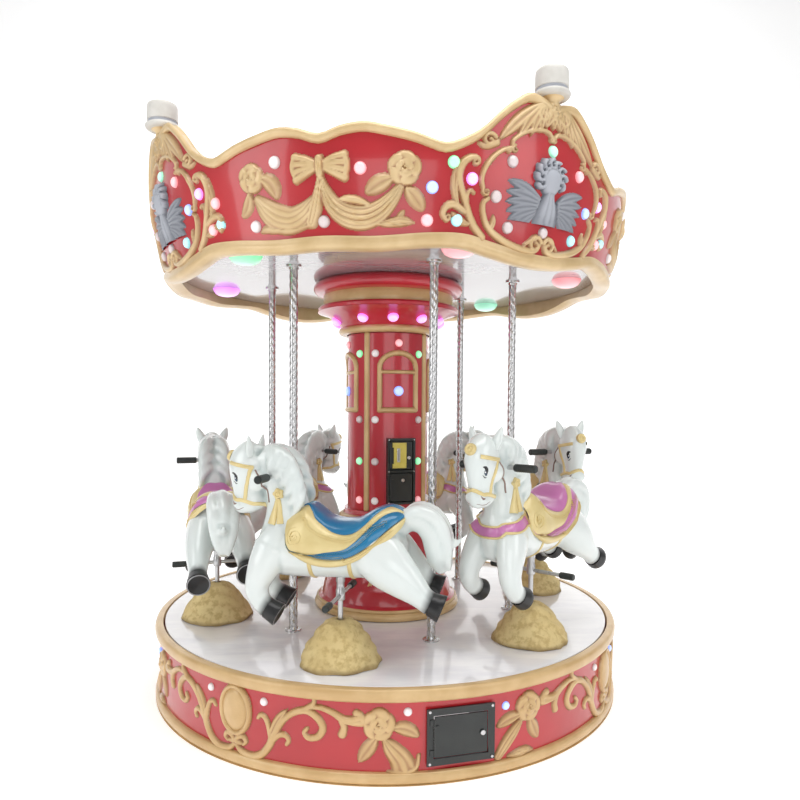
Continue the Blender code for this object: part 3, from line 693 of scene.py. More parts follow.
SHAFT_LAMP = 0.0185
WINDOW_LAMP = 0.024
BESIDE = math.radians(32.5) * SHAFT
beside = [(-BESIDE, 1.567, "white"), (-BESIDE, 1.254, "white"), (-BESIDE, 1.055, "grey"),
          (-BESIDE, 0.868, "white"), (0.0, 1.616, "pink"), (BESIDE, 1.567, "green"),
          (BESIDE, 1.254, "grey"), (BESIDE, 1.055, "green"), (BESIDE, 0.868, "pink")]
shaft_lamps = quarters(COLUMN_AZIMUTH, lamps(beside, SHAFT_LAMP, on_shaft),
                       lamps([(0.0, 1.390, "blue")], WINDOW_LAMP, on_shaft))
cast("shaft lamps", shaft_lamps, lamp_list, "turntable")

capital = lathe([(0.215, 1.700), (0.222, 1.706), *arc(0.395, 1.655, 0.175, 0.125, 160, 106, 9),
                 (0.3455, 1.778), (0.3475, 1.790), (0.340, 1.799), (0.300, 1.801)], 140)
capital.join(lathe([(0.310, 1.855), (0.330, 1.858), *arc(0.334, 1.890, 0.034, 0.030, -80, 55, 9),
                    (0.345, 1.9195)], 140))
capital_gold = lathe([(0.205, 1.666), *arc(0.228, 1.683, 0.016, 0.017, -80, 80, 8),
                      (0.214, 1.702)], 120, 0.8)
capital_gold.join(lathe([(0.300, 1.800), (0.318, 1.801), (0.3195, 1.806), (0.3200, 1.853),
                         (0.3175, 1.858), (0.300, 1.859)], 120, 0.7))
cast("capital", capital, [dark_red], "turntable", ["column_capital"], 30)
cast("capital gold", capital_gold, [gold], "turntable", crease=60)


def on_bowl(x, y, height):
    """Place on the capital's flared bowl, where lamps face outwards and a little down."""
    radius = np.interp(y, [1.706, 1.727, 1.752, 1.778], [0.228, 0.262, 0.300, 0.340])
    return ringed(x, radius + height, y)


BOWL_LAMP = 0.026
bowl = [(math.radians(-26.5 + 31.5 * k), 1.728, "violet") for k in range(11)]
cast("capital lamps", lamps(bowl, BOWL_LAMP, on_bowl), lamp_list, "turntable")


# Coin box: a steel panel set into the shaft, with a coin door over a cash box door. Both have
# locks, and a plain yellow slot plate is riveted to the upper one.
COIN_FACE = 0.2075
coin = at(COIN_AZIMUTH, COIN_FACE)
screw = button(0.0038, 0.0022, 0.001, 14)
coin_screws = Form()
for x in (-0.063, 0.063):
    for z in (0.8625, 1.0100, 1.1595):
        coin_screws.join(screw.moved(coin @ moved_to(x, 0, z)))
cast("coin panel screws", coin_screws, [steel], "turntable")
for door, x, z in (("cash box", 0.006, 0.968), ("coin door", 0.035, 1.075)):
    lock = button(0.0085, 0.0026, 0.0012).moved(coin @ moved_to(x, -0.004, z))
    cast(f"{door} lock", lock, [steel], "coin_door" if door == "coin door" else "cash_box_door")


def pressed_yellow(name):
    finish = Finish(name, Coat_Weight=0.3, Coat_Roughness=0.2)
    cloud = finish.noise(45.0, 2.0)
    return finish.set(Base_Color=finish.mix(cloud, (0.66, 0.52, 0.07), (0.82, 0.70, 0.16)),
                      Roughness=0.35 + 0.2 * cloud).material


def slab(left, right, low, high, thick, ease=0.0015):
    """Flat plate facing -Y with eased edges."""
    rings = []
    for inset, depth in ((0, 0.0005), (0, -thick + ease), (ease, -thick)):
        rings.append([(left + inset, depth, low + inset), (right - inset, depth, low + inset),
                      (right - inset, depth, high - inset), (left + inset, depth, high - inset)])
    middle = ((left + right) / 2, -thick, (low + high) / 2)
    rings.append([middle] * 4)
    return Form().skin(np.array(rings), across=True)


yellow = pressed_yellow("yellow plate")
SLOT_PLATE = (-0.046, 0.024, 1.026, 1.146)
PLATE_THICK = 0.0024
plates = slab(*SLOT_PLATE, PLATE_THICK)
plates.join(slab(-0.024, -0.008, 1.054, 1.120, 2 * PLATE_THICK).paint(1))
plates.join(slab(-0.0173, -0.0147, 1.062, 1.112, 2.25 * PLATE_THICK, 0.0004).paint(2))
for x in (-0.041, 0.019):
    for z in (1.032, 1.140):
        plates.join(button(0.0018, 0.0012, 0.0, 10).moved(moved_to(x, -PLATE_THICK, z)).paint(1))
cast("coin slot plate", plates.moved(coin), [yellow, steel, black], "coin_door")


# Canopy: a white ceiling, and a fibreglass valance that leans out round it. The valance's top and
# foot are waved, and rise to a crest over each of four medallions.
CANOPY_AZIMUTH = -12.5
pale_gold = gold_paint("pale gold paint", (0.46, 0.240, 0.120), (0.66, 0.465, 0.225),
                       (0.77, 0.570, 0.305))
CEILING = 1.920
WALL = 0.022
TOP_WAVE = ((0, 2.239), (4, 2.262), (8, 2.272), (12, 2.260), (17, 2.240), (20, 2.222), (22.9, 2.212),
            (27, 2.245), (30, 2.285), (33, 2.342), (36, 2.390), (39.2, 2.426), (42.4, 2.418), (45, 2.404))
FOOT_WAVE = ((0, 1.861), (10, 1.857), (20, 1.872), (27, 1.875), (33, 1.855), (39, 1.838), (45, 1.832))
around = np.linspace(0, 360, 288, endpoint=False)
folded = np.abs((around + 45) % 90 - 45)


def waved(table):
    """Height round the canopy from a table over the angle to the nearest bow."""
    line = drawn([(-table[1][0], table[1][1]), *table, (90 - table[-2][0], table[-2][1])], 10)
    return np.interp(folded, line[:, 0], line[:, 1])


top_line = waved(TOP_WAVE)
foot_line = waved(FOOT_WAVE)


def lean(height):
    """Outer radius of the valance at a height."""
    return 1.0175 + 0.215 * (np.clip(height, 1.65, 2.16) - 1.793)


def swept(outline):
    """Form swept round the canopy from rows of radius and height, one for each angle."""
    radius, level = np.array(outline).transpose(1, 2, 0)
    angle = np.radians(CANOPY_AZIMUTH + around)[:, None]
    return Form().skin(ringed(angle, radius, level), around=True, height=0.8)


def strip_between(low, high, share):
    level = low + (high - low) * share
    return lean(level), level


outside = [strip_between(foot_line + 0.014, top_line - 0.010, share) for share in np.linspace(0, 1, 9)]
inside = [(r - WALL, z) for r, z in outside[::-1]]
cast("valance", swept(outside + inside), [red], "turntable", ["canopy_valance"], 30)


def rolled(line, up, out, middle, wide, high, angles):
    """Rounded roll along a waved edge: its middle lies up from the line, and out from the wall."""
    turns = np.radians(angles)
    return [(lean(line + up) + out + wide * np.cos(a), line + middle + high * np.sin(a)) for a in turns]


top_roll = [(lean(top_line - 0.032), top_line - 0.033), (lean(top_line - 0.032) + 0.005, top_line - 0.035)]
top_roll += rolled(top_line, -0.02, 0.0080, -0.0160, 0.0125, 0.0158, (-55, -20, 15, 50, 85, 120, 150))
top_roll += [(lean(top_line) - WALL, top_line - drop) for drop in (0.003, 0.012)]
foot_roll = [(lean(foot_line + 0.05) + out, foot_line + up) for out, up in ((0, 0.049), (0.009, 0.047))]
foot_roll += rolled(foot_line, 0.02, 0.002, 0.023, 0.0165, 0.022, (50, 15, -20, -55))
foot_roll += [(lean(foot_line) - inset, foot_line + rise)
              for inset, rise in ((0.012, 0.0005), (0.034, 0.003), (0.052, 0.014))]
eaves = np.full(len(around), lean(CEILING))
foot_roll += [(eaves - inset, CEILING - drop + 0 * around)
              for inset, drop in ((0.058, 0.016), (0.052, 0.0004))]
cast("valance crest roll", swept(top_roll), [pale_gold], "turntable", ["canopy_top_rim"], 55)
cast("valance foot roll", swept(foot_roll[::-1]), [pale_gold], "turntable",
     ["canopy_bottom_rim"], 55)

CEILING_THICK = 0.020
# The white enamel ceiling is given a dark grey colour for the shade under the canopy: painted shade.
shaded_ceiling_enamel = enamel("ceiling enamel", (0.40, 0.380, 0.385), (0.32, 0.300, 0.312), 0.10)
ceiling = Form()
for level in (CEILING, CEILING + CEILING_THICK):
    ceiling.join(lathe([(lean(CEILING) - WALL - 0.001, level), (0.0, level)], 144))
cast("ceiling", ceiling, [shaded_ceiling_enamel], "turntable", ["canopy_ceiling"])


# Ceiling lamps: six wide plastic domes under the canopy, lit in four soft colours. Each one clips
# to a lamp holder that is screwed to the ceiling.
POLE_AZIMUTH = -42.0
DOME_RADIUS = 0.860
ceiling_lights = Form()
DOME = ("green", "pink", "pink", "mint", "green", "violet")
dome_line = [(0.0, -0.0385), (0.020, -0.0375), (0.040, -0.033), (0.055, -0.025), (0.064, -0.013),
             (0.068, -0.004), (0.0695, -0.0004)]
for k, color in enumerate(DOME):
    dome = lathe(dome_line, 40, np.tile(np.linspace(1, 0, len(dome_line)), 40))
    dome = dome.moved(at(POLE_AZIMUTH + 60 * k, DOME_RADIUS, CEILING))
    ceiling_lights.join(dome.paint(lamp_kinds.index(color)))
cast("ceiling lamps", ceiling_lights, lamp_list, "turntable")


# Valance ornament: in each quarter a bow with two swags of cloth between roses, and a medallion
# in a scrolled ring under the crest, all cast with the wall and painted gold.
def on_wall(x, y, height):
    """Plan place on the leaning valance, with heights square to its wall."""
    return ringed(x / 1.06, lean(y) + height, y - 0.2 * height)


bow = []
for side in (-1, 1):
    for rise in (-0.036, -0.012, 0.012, 0.036):
        bow.append(stroke([(0.006 * side, 2.134 + 0.1 * rise, 0.010, 0.014),
                           (0.045 * side, 2.134 + 0.6 * rise, 0.013, 0.019),
                           (0.084 * side, 2.130 + rise, 0.015, 0.018)]))
    bow.append(stroke([(0.084 * side, 2.172, 0.009, 0.014), (0.093 * side, 2.130, 0.011, 0.021),
                       (0.082 * side, 2.088, 0.009, 0.014)]))
bow += [
    stroke([(0.0, 2.158, 0.014, 0.020), (0.0, 2.134, 0.016, 0.026), (0.0, 2.108, 0.014, 0.022)], 4, 0.07),
    stroke([(-0.001, 2.100, 0.010, 0.014), (-0.010, 2.050, 0.018, 0.017), (-0.024, 2.000, 0.026, 0.018),
            (-0.040, 1.956, 0.024, 0.014)], 4, 0.13),
    stroke([(-0.020, 2.040, 0.010, 0.010), (-0.060, 1.990, 0.036, 0.015), (-0.110, 1.966, 0.046, 0.018),
            (-0.160, 1.974, 0.050, 0.018), (-0.205, 2.004, 0.040, 0.017), (-0.240, 2.044, 0.018, 0.012)],
           5, 0.10),
    stroke([(-0.244, 1.936, 0.004, 0.006), (-0.216, 1.945, 0.016, 0.012), (-0.170, 1.938, 0.014, 0.014),
            (-0.110, 1.934, 0.013, 0.013), (-0.050, 1.946, 0.008, 0.010)], 2, 0.10),
    stroke([(0.004, 2.096, 0.010, 0.014), (0.016, 2.054, 0.020, 0.018), (0.044, 2.004, 0.032, 0.020),
            (0.094, 1.972, 0.042, 0.021), (0.152, 1.966, 0.042, 0.021), (0.202, 1.988, 0.036, 0.020),
            (0.240, 2.024, 0.026, 0.018), (0.268, 2.062, 0.016, 0.012)], 5, 0.13),
    stroke([(0.060, 2.024, 0.006, 0.010), (0.092, 2.026, 0.014, 0.022), (0.126, 2.020, 0.014, 0.022),
            (0.162, 2.006, 0.008, 0.014)]),
    stroke([(0.190, 1.944, 0.006, 0.010), (0.236, 1.948, 0.016, 0.014), (0.280, 1.954, 0.018, 0.013),
            (0.318, 1.950, 0.004, 0.006)], 3, 0.14),
    leaf(0.262, 1.962, 50, 0.034, 0.010, 0.012),
    leaf(-0.215, 2.110, -10, 0.088, 0.030, 0.013, -45), leaf(-0.272, 2.066, 262, 0.085, 0.024, 0.013, -25),
    leaf(0.240, 2.090, 196, 0.098, 0.030, 0.013, 14), leaf(0.292, 2.058, 318, 0.088, 0.028, 0.013, -8),
]
bow += rose(-0.258, 2.116, 0.056, 0.021) + rose(0.282, 2.122, 0.062, 0.022)
bow_field = carved((-0.36, 0.40, 1.88, 2.22), 0.0040, bow, on_wall)

RING_BAND = 0.0085
ring_left = [
    stroke([(-0.174, 2.226, 0.008, 0.012), (-0.170, 2.252, RING_BAND, 0.014), (-0.121, 2.288, 0.009, 0.015),
            (-0.063, 2.306, 0.009, 0.015), (-0.022, 2.305, 0.009, 0.015), (-0.006, 2.288, 0.008, 0.013)]),
    curl(-0.164, 2.221, 90, 1.0, 0.012, 0.006, 0.014), curl(-0.008, 2.284, 60, 1.0, 0.010, 0.006, 0.014, -1),
    stroke([(-0.184, 2.216, 0.008, 0.012), (-0.210, 2.212, RING_BAND, 0.014), (-0.250, 2.180, 0.009, 0.015),
            (-0.276, 2.140, 0.009, 0.015), (-0.284, 2.105, 0.009, 0.015), (-0.276, 2.076, 0.008, 0.013)]),
    curl(-0.188, 2.212, 60, 1.0, 0.010, 0.006, 0.014), curl(-0.264, 2.068, 180, 1.0, 0.012, 0.006, 0.014, 1),
    stroke([(-0.254, 2.046, 0.009, 0.012), (-0.270, 2.030, 0.010, 0.014), (-0.267, 1.994, 0.011, 0.015),
            (-0.243, 1.950, 0.012, 0.016), (-0.190, 1.917, 0.014, 0.018), (-0.125, 1.897, 0.014, 0.019),
            (-0.062, 1.890, 0.013, 0.018), (-0.026, 1.896, 0.011, 0.016), (-0.014, 1.914, 0.010, 0.015)]),
    curl(-0.034, 1.916, 20, 1.3, 0.026, 0.010, 0.018, 1),
    stroke([(-0.082, 1.908, 0.007, 0.010), (-0.056, 1.926, 0.009, 0.013), (-0.034, 1.934, 0.008, 0.013)]),
    leaf(-0.236, 1.944, 60, 0.050, 0.012, 0.014, 20),
]
outer_left = [
    stroke([(-0.300, 2.168, 0.008, 0.012), (-0.326, 2.172, 0.012, 0.015), (-0.354, 2.150, 0.014, 0.017),
            (-0.366, 2.108, 0.014, 0.017), (-0.352, 2.062, 0.013, 0.016), (-0.330, 2.010, 0.013, 0.016),
            (-0.304, 1.958, 0.014, 0.016), (-0.262, 1.916, 0.014, 0.014)]),
    curl(-0.312, 2.160, 120, 1.0, 0.015, 0.008, 0.014, -1),
    stroke([(-0.308, 2.058, 0.006, 0.010), (-0.322, 2.066, 0.008, 0.012), (-0.333, 2.050, 0.009, 0.013),
            (-0.328, 2.006, 0.011, 0.014), (-0.300, 1.958, 0.012, 0.014)]),
    leaf(-0.362, 2.012, 116, 0.140, 0.013, 0.014, -22),
    stroke([(-0.336, 1.996, 0.011, 0.013), (-0.376, 2.016, 0.014, 0.015), (-0.404, 2.008, 0.013, 0.014),
            (-0.414, 1.982, 0.011, 0.013), (-0.400, 1.964, 0.009, 0.011)]),
    curl(-0.398, 1.976, 200, 0.9, 0.012, 0.007, 0.012, 1),
    leaf(-0.320, 1.955, 170, 0.075, 0.014, 0.012, -20),
]
crest = [
    leaf(-0.060, 2.398, 217, 0.232, 0.024, 0.017, 6), leaf(-0.050, 2.402, 226, 0.176, 0.021, 0.018, 8),
    leaf(-0.044, 2.404, 236, 0.138, 0.020, 0.019, 10), leaf(-0.038, 2.406, 248, 0.112, 0.020, 0.019, 10),
    leaf(-0.032, 2.406, 262, 0.090, 0.018, 0.018, 8),
    curl(-0.048, 2.362, 90, 1.2, 0.024, 0.011, 0.021, 1),
    curl(-0.262, 2.238, 30, 1.2, 0.022, 0.010, 0.016, 1),
    stroke([(-0.300, 2.222, 0.008, 0.008), (-0.276, 2.214, 0.012, 0.012), (-0.236, 2.232, 0.014, 0.014)]),
]
shell = [leaf(0.0, 2.396, angle, 0.078, 0.017, 0.020) for angle in (226, 248, 270, 292, 314)]
shell += rose(0.0, 2.386, 0.042, 0.026)
medallion = both(ring_left + outer_left + crest) + shell
ring_field = carved((-0.44, 0.44, 1.85, 2.435), 0.0040, medallion, on_wall)
valance_ornament = quarters(CANOPY_AZIMUTH, bow_field).join(quarters(CANOPY_AZIMUTH + 45, ring_field))
cast("valance ornament", valance_ornament, [pale_gold], "turntable", crease=60)


# Medallion figure: a small bust between two spread wings, moulded apart and glued on. It is a
# common fairground form, with plain locks of hair and no face drawn on it.
def pewter_paint(name):
    finish = Finish(name, Metallic=0.1)
    height = finish.painted("height")
    # Darker at the foot of the relief and in its fold valleys, read from the height attribute: painted
    # shade.
    color = finish.mix(height.between(0.05, 0.75), (0.20, 0.21, 0.24), (0.46, 0.48, 0.53))
    cloud = finish.noise(60.0, 2.0)
    finish.set(Base_Color=color, Roughness=0.5 + 0.15 * cloud)
    return finish.rough(cloud, 0.0006).material


def wing(side):
    """Seven feathers that fan down from a shoulder."""
    feathers = []
    for t in np.linspace(0, 1, 7):
        foot = (side * (0.045 + 0.015 * t), 2.070 - 0.055 * t)
        angle = 152 + 62 * t if side < 0 else 28 - 62 * t
        feathers.append(leaf(*foot, angle, 0.145 - 0.035 * t, 0.019, 0.014 - 0.003 * t, side * -10))
    return feathers


figure = wing(-1) + wing(1) + [
    stroke([(0.0, 1.998, 0.060, 0.014), (0.0, 2.030, 0.052, 0.020), (-0.002, 2.064, 0.034, 0.022),
            (-0.002, 2.090, 0.024, 0.022)], 4, 0.07),
    ([(-0.006, 2.142, 0.050, 0.030), (-0.004, 2.128, 0.046, 0.030)], 0, 0.0),
]
LOCKS = np.linspace(-0.5, math.pi + 0.5, 9)
figure += [curl(-0.006 + 0.048 * math.cos(a), 2.148 + 0.046 * math.sin(a), math.degrees(a), 1.0, 0.016,
                0.009, 0.026) for a in LOCKS]
figure_field = carved((-0.21, 0.21, 1.985, 2.215), 0.004, figure, on_wall)
pewter = pewter_paint("pewter paint")
cast("medallion figures", quarters(CANOPY_AZIMUTH + 45, figure_field), [pewter], "turntable",
     crease=60)

WALL_LAMP = 0.0220
BOW_LAMPS = [(-0.161, 2.158, "white"), (0.136, 2.122, "pink"), (-0.264, 1.958, "white"),
             (0.004, 1.956, "grey"), (0.377, 2.066, "blue"), (0.364, 1.960, "pink")]
RING_LAMPS = [(-0.172, 2.177, "grey"), (0.004, 2.243, "mint"), (0.151, 2.184, "pink"),
              (0.224, 2.066, "blue"), (0.163, 1.955, "cyan"), (0.0, 1.959, "grey"),
              (-0.163, 1.958, "grey"), (-0.223, 2.055, "grey"), (-0.318, 2.103, "violet"),
              (-0.386, 2.150, "green"), (-0.362, 1.966, "cyan"), (0.309, 2.107, "violet"),
              (0.392, 2.060, "pink"), (0.356, 1.972, "pink"), (0.405, 1.985, "cyan")]
valance_lamps = quarters(CANOPY_AZIMUTH, lamps(BOW_LAMPS, WALL_LAMP, on_wall))
valance_lamps.join(quarters(CANOPY_AZIMUTH + 45, lamps(RING_LAMPS, WALL_LAMP, on_wall)))
cast("valance lamps", valance_lamps, lamp_list, "turntable")


# Finials: turned white plastic drums with a groove over a fat rim, each screwed to a gold neck on
# the crest over a medallion.
def chalk_white(name):
    finish = Finish(name, Coat_Weight=0.2)
    cloud = finish.noise(20.0, 3.0)
    finish.set(Base_Color=finish.mix(cloud, (0.55, 0.53, 0.48), (0.78, 0.76, 0.72)),
               Roughness=0.4 + 0.2 * cloud)
    return finish.rough(cloud, 0.001).material


finial_white = chalk_white("finial white")
rim_line = [(0.034, 0.0004), (0.046, 0.0008), *arc(0.0560, 0.0125, 0.0120, 0.0110, -80, 75, 7),
            (0.0562, 0.0240)]
groove_line = [(0.0562, 0.0240), (0.0554, 0.0250), (0.0554, 0.0340), (0.0562, 0.0350)]
drum_line = [(0.0562, 0.0350), (0.0602, 0.0362), (0.0612, 0.0580), (0.0602, 0.0840),
             *arc(0.046, 0.0925, 0.0138, 0.0125, 5, 85, 5), (0.030, 0.1056), (0.0, 0.1068)]
neck_line = [(0.022, -0.034), (0.027, -0.030), (0.026, -0.014), (0.034, -0.004), (0.044, 0.0006)]
CREST = 2.4303
finial = Form()
for paint, line in ((0, rim_line), (2, groove_line), (0, drum_line), (1, neck_line)):
    finial.join(lathe(line, 48, 0.8).paint(paint))
finial_mesh = finial.mesh("finial drum", [finial_white, pale_gold, pewter], 50)
for k in range(4):
    spot = at(CANOPY_AZIMUTH + 45 + 90 * k, float(lean(2.2)) - 0.005, CREST)
    show(f"finial {k + 1} drum", finial_mesh, "turntable", [f"finial_{k + 1}"], spot)


# Poles: six bright steel tubes with a twisted rope pattern, from a flange on the deck to one
# under the ceiling.
POLE_RADIUS = 0.609
FLOOR = 0.3358
POLE = 0.0182
TWIST = 0.150
chrome = bright_steel("twisted steel", 0.58, 0.14)
angle = np.linspace(0, math.tau, 28, endpoint=False)[:, None]
levels = np.arange(FLOOR + 0.014, CEILING - 0.010, 0.0085)
lobes = np.abs(np.sin(2.0 * (angle + levels * math.tau / TWIST))) ** 0.7
pole = Form().skin(ringed(angle, POLE - 0.0032 + 0.0036 * lobes, levels), around=True)
foot_flange = [(0.0355, 0.0), (0.0355, 0.005), (0.033, 0.007), (0.0215, 0.009), (0.0195, 0.018),
               (0.012, 0.019)]
head_flange = [(0.012, 0.020), (0.0200, 0.019), (0.0215, 0.009), (0.0325, 0.0065), (0.0335, 0.0005),
               (0.0, 0.0004)]
pole.join(lathe([(radius, FLOOR + rise) for radius, rise in foot_flange], 40))
pole.join(lathe([(radius, CEILING - drop) for radius, drop in head_flange], 40))
for k in range(3):
    turn = math.tau * (k + 0.25) / 3
    spot = moved_to(0.028 * math.sin(turn), -0.028 * math.cos(turn), FLOOR + 0.0075)
    pole.join(button(0.0030, 0.0018, 0.0008, 12).moved(spot @ Matrix.Rotation(math.radians(-90), 4, "X")))
pole_mesh = pole.mesh("pole", [chrome], 50)
for k in range(6):
    show(f"pole {k + 1} tube", pole_mesh, "turntable", [f"pole_{k + 1}"],
         at(POLE_AZIMUTH + 60 * k, POLE_RADIUS))


# Rocks: hollow fibreglass boulders bolted to the deck. They hide the cranks that lift the horses
# and each has a hole in its top for the rod.
def stone(name):
    finish = Finish(name, Specular_IOR_Level=0.3)
    grain = finish.noise(34.0, 6.0, 0.62)
    patch = finish.noise(7.0, 3.0)
    # Dark brown low on the rock, round its bore and inside it: painted shade.
    hollow = finish.painted("height")
    body = finish.mix(patch.between(0.35, 0.65), (0.70, 0.540, 0.250), (0.78, 0.620, 0.305))
    worn = finish.mix(grain.between(0.36, 0.56), (0.58, 0.425, 0.180), body)
    finish.set(Base_Color=finish.mix(hollow, (0.32, 0.220, 0.100), worn), Roughness=0.62 + 0.2 * grain)
    return finish.rough(grain, 0.006, 0.7).material


HORSE_RADIUS = 0.827
HORSE_AZIMUTH = -12.4
ROCK_TOP = 0.1645
ROCK_BORE = 0.0125
ROCK_LINE = np.array([(0, 0.163, 0.0), (0.12, 0.160, 0.018), (0.30, 0.139, 0.052),
                      (0.50, 0.112, 0.088), (0.68, 0.087, 0.124), (0.84, 0.060, 0.152),
                      (0.94, 0.034, 0.161), (1.0, ROCK_BORE, 0.162)]).T
FLATS = 26
HEART = 0.03
ochre = stone("painted stone")


def boulder(seed):
    """Lumpy dome with flats and steps, like a boulder carved from foam."""
    rng = np.random.default_rng(seed)
    angle = np.linspace(0, math.tau, 72, endpoint=False)[:, None]
    share = np.linspace(0, 1, 32)[None, :]
    radius = np.interp(share, ROCK_LINE[0], ROCK_LINE[1])
    place = ringed(angle, radius, np.interp(share, ROCK_LINE[0], ROCK_LINE[2]))
    inward = np.clip((radius - ROCK_BORE) / 0.06, 0, 1)[..., None]
    heart = np.array([0, 0, HEART])
    out = place - heart
    length = np.linalg.norm(out, axis=-1, keepdims=True)
    flat = np.full(length.shape, 9.0)
    for _ in range(FLATS):
        face = rng.normal(size=3) * (1, 1, 0.7) + (0, 0, 0.35)
        face /= np.linalg.norm(face)
        hold = (ROCK_LINE[1] * math.hypot(face[0], face[1]) + (ROCK_LINE[2] - HEART) * face[2]).max()
        reach = hold * rng.uniform(0.91, 0.99)
        meet = reach / np.maximum((out / length) @ face, 1e-3)
        flat = np.minimum(flat, meet[..., None])
    cut = np.minimum(length, flat * 1.02 - 0.002)
    step = 0.0035 * np.sin(place[..., 2:] * 130 + 3 * np.sin(3 * angle)[..., None] + seed)
    place = heart + out / length * (length + (cut + step - length) * inward)
    place[..., 2] = np.clip(place[..., 2], 0.0, ROCK_TOP)
    # Darkest over the bottom 2 cm, at the bore's rim and inside the bore: painted shade at the foot and in
    # the hole.
    hollow = np.clip((place[..., 2] / 0.02), 0.25, 1)
    hollow = np.where(radius < 0.024, 0.1, hollow)
    form = Form().skin(place, around=True, height=hollow.ravel())
    tube = np.stack([place[:, -1], place[:, -1] * (1, 1, 0) + (0, 0, 0.10)], 1)
    return form.skin(tube, around=True, height=0.0)


for k in range(6):
    spot = at(HORSE_AZIMUTH + 60 * k, HORSE_RADIUS, FLOOR) @ Matrix.Rotation(2.1 * k, 4, "Z")
    show(f"rock {k + 1} shell", boulder(k + 3).mesh("rock", [ochre], 28), "turntable",
         [f"rock_{k + 1}"], spot)


# Horses: hollow fibreglass ponies in gloss white, all from one mould. They lean forward in a
# gallop with the head tucked in. Each is drawn as tapered limbs that are fused and smoothed.
def limb(stations, sides=24):
    """Closed round form through stations of place, half width and half depth."""
    line = drawn(stations, 5)
    middle = line[:, :3]
    ahead = np.gradient(middle, axis=0)
    ahead /= np.linalg.norm(ahead, axis=1, keepdims=True)
    across = (0.0, 1.0, 0.0) - ahead * ahead[:, 1:2]
    across /= np.linalg.norm(across, axis=1, keepdims=True)
    up = np.cross(ahead, across)
    angle = np.linspace(0, math.tau, sides, endpoint=False)[None, :, None]
    wide, deep = line[:, 3, None, None], line[:, 4, None, None]
    rows = middle[:, None] + np.cos(angle) * wide * across[:, None] + np.sin(angle) * deep * up[:, None]
    ends = [np.repeat(middle[i][None, None] + s * 0.3 * min(line[i, 3:]) * ahead[i], sides, 1)
            for i, s in ((0, -1), (-1, 1))]
    return Form().skin(np.vstack([ends[0], rows, ends[1]]), across=True)


def mirrored(form):
    """A form with its mirror image on the far side of the horse."""
    flip = form.moved(Matrix.Diagonal((1, -1, 1, 1)))
    flip.faces = [face[:, ::-1] for face in flip.faces]
    return Form().join(form).join(flip)


TRUNK = [(0.302, 0, 0.775, 0.030, 0.040), (0.285, 0, 0.774, 0.072, 0.082), (0.240, 0, 0.772, 0.098, 0.106),
         (0.170, 0, 0.766, 0.110, 0.108), (0.080, 0, 0.759, 0.112, 0.100), (0, 0, 0.758, 0.112, 0.096),
         (-0.080, 0, 0.764, 0.114, 0.100), (-0.160, 0, 0.779, 0.122, 0.110),
         (-0.225, 0, 0.800, 0.112, 0.100), (-0.262, 0, 0.806, 0.080, 0.070),
         (-0.278, 0, 0.810, 0.030, 0.030)]
NECK = [(0.185, 0, 0.80, 0.088, 0.118), (0.185, 0, 0.88, 0.076, 0.098), (0.192, 0, 0.95, 0.064, 0.082),
        (0.212, 0, 1.03, 0.058, 0.078), (0.248, 0, 1.092, 0.052, 0.068), (0.290, 0, 1.128, 0.046, 0.044)]
HEAD = [(0.318, 0, 1.150, 0.030, 0.026), (0.334, 0, 1.138, 0.050, 0.058), (0.346, 0, 1.105, 0.058, 0.082),
        (0.350, 0, 1.060, 0.056, 0.082), (0.352, 0, 1.015, 0.048, 0.072), (0.353, 0, 0.975, 0.042, 0.062),
        (0.350, 0, 0.945, 0.043, 0.064), (0.346, 0, 0.920, 0.044, 0.062), (0.342, 0, 0.903, 0.030, 0.044)]
body = limb(TRUNK, 32).join(limb(NECK, 32)).join(limb(HEAD, 32))
cheek = limb([(0.300, 0.030, 1.060, 0.022, 0.034), (0.304, 0.036, 1.030, 0.024, 0.040),
              (0.316, 0.032, 0.998, 0.016, 0.026)], 16)
brow = limb([(0.410, 0.022, 1.078, 0.014, 0.012), (0.396, 0.037, 1.068, 0.014, 0.012),
             (0.374, 0.045, 1.056, 0.012, 0.010)], 12)
nostril = limb([(0.398, 0.016, 0.950, 0.014, 0.014), (0.390, 0.030, 0.934, 0.015, 0.016),
                (0.372, 0.034, 0.920, 0.012, 0.012)], 14)
shoulder = limb([(0.190, 0.050, 0.850, 0.030, 0.050), (0.215, 0.068, 0.790, 0.042, 0.072),
                 (0.235, 0.072, 0.730, 0.040, 0.066)], 20)
haunch = limb([(-0.110, 0.060, 0.840, 0.030, 0.050), (-0.165, 0.072, 0.800, 0.052, 0.088),
               (-0.215, 0.080, 0.750, 0.054, 0.080)], 20)
for part in (cheek, brow, nostril, shoulder, haunch):
    body.join(mirrored(part))
FORE_NEAR = [(0.225, 0.062, 0.775, 0.058, 0.078), (0.258, 0.076, 0.705, 0.054, 0.064),
             (0.280, 0.087, 0.640, 0.044, 0.048), (0.276, 0.092, 0.600, 0.040, 0.043),
             (0.256, 0.094, 0.570, 0.036, 0.038), (0.232, 0.095, 0.550, 0.038, 0.040)]
FORE_FAR = [(0.225, -0.062, 0.775, 0.058, 0.078), (0.265, -0.077, 0.712, 0.053, 0.062),
            (0.298, -0.085, 0.655, 0.044, 0.047), (0.304, -0.088, 0.612, 0.039, 0.042),
            (0.284, -0.090, 0.580, 0.036, 0.038), (0.250, -0.091, 0.556, 0.038, 0.040)]
HIND_NEAR = [(-0.165, 0.062, 0.790, 0.072, 0.100), (-0.228, 0.084, 0.735, 0.066, 0.094),
             (-0.288, 0.095, 0.688, 0.054, 0.074), (-0.332, 0.098, 0.652, 0.044, 0.056),
             (-0.362, 0.100, 0.626, 0.038, 0.044), (-0.392, 0.100, 0.606, 0.040, 0.044)]
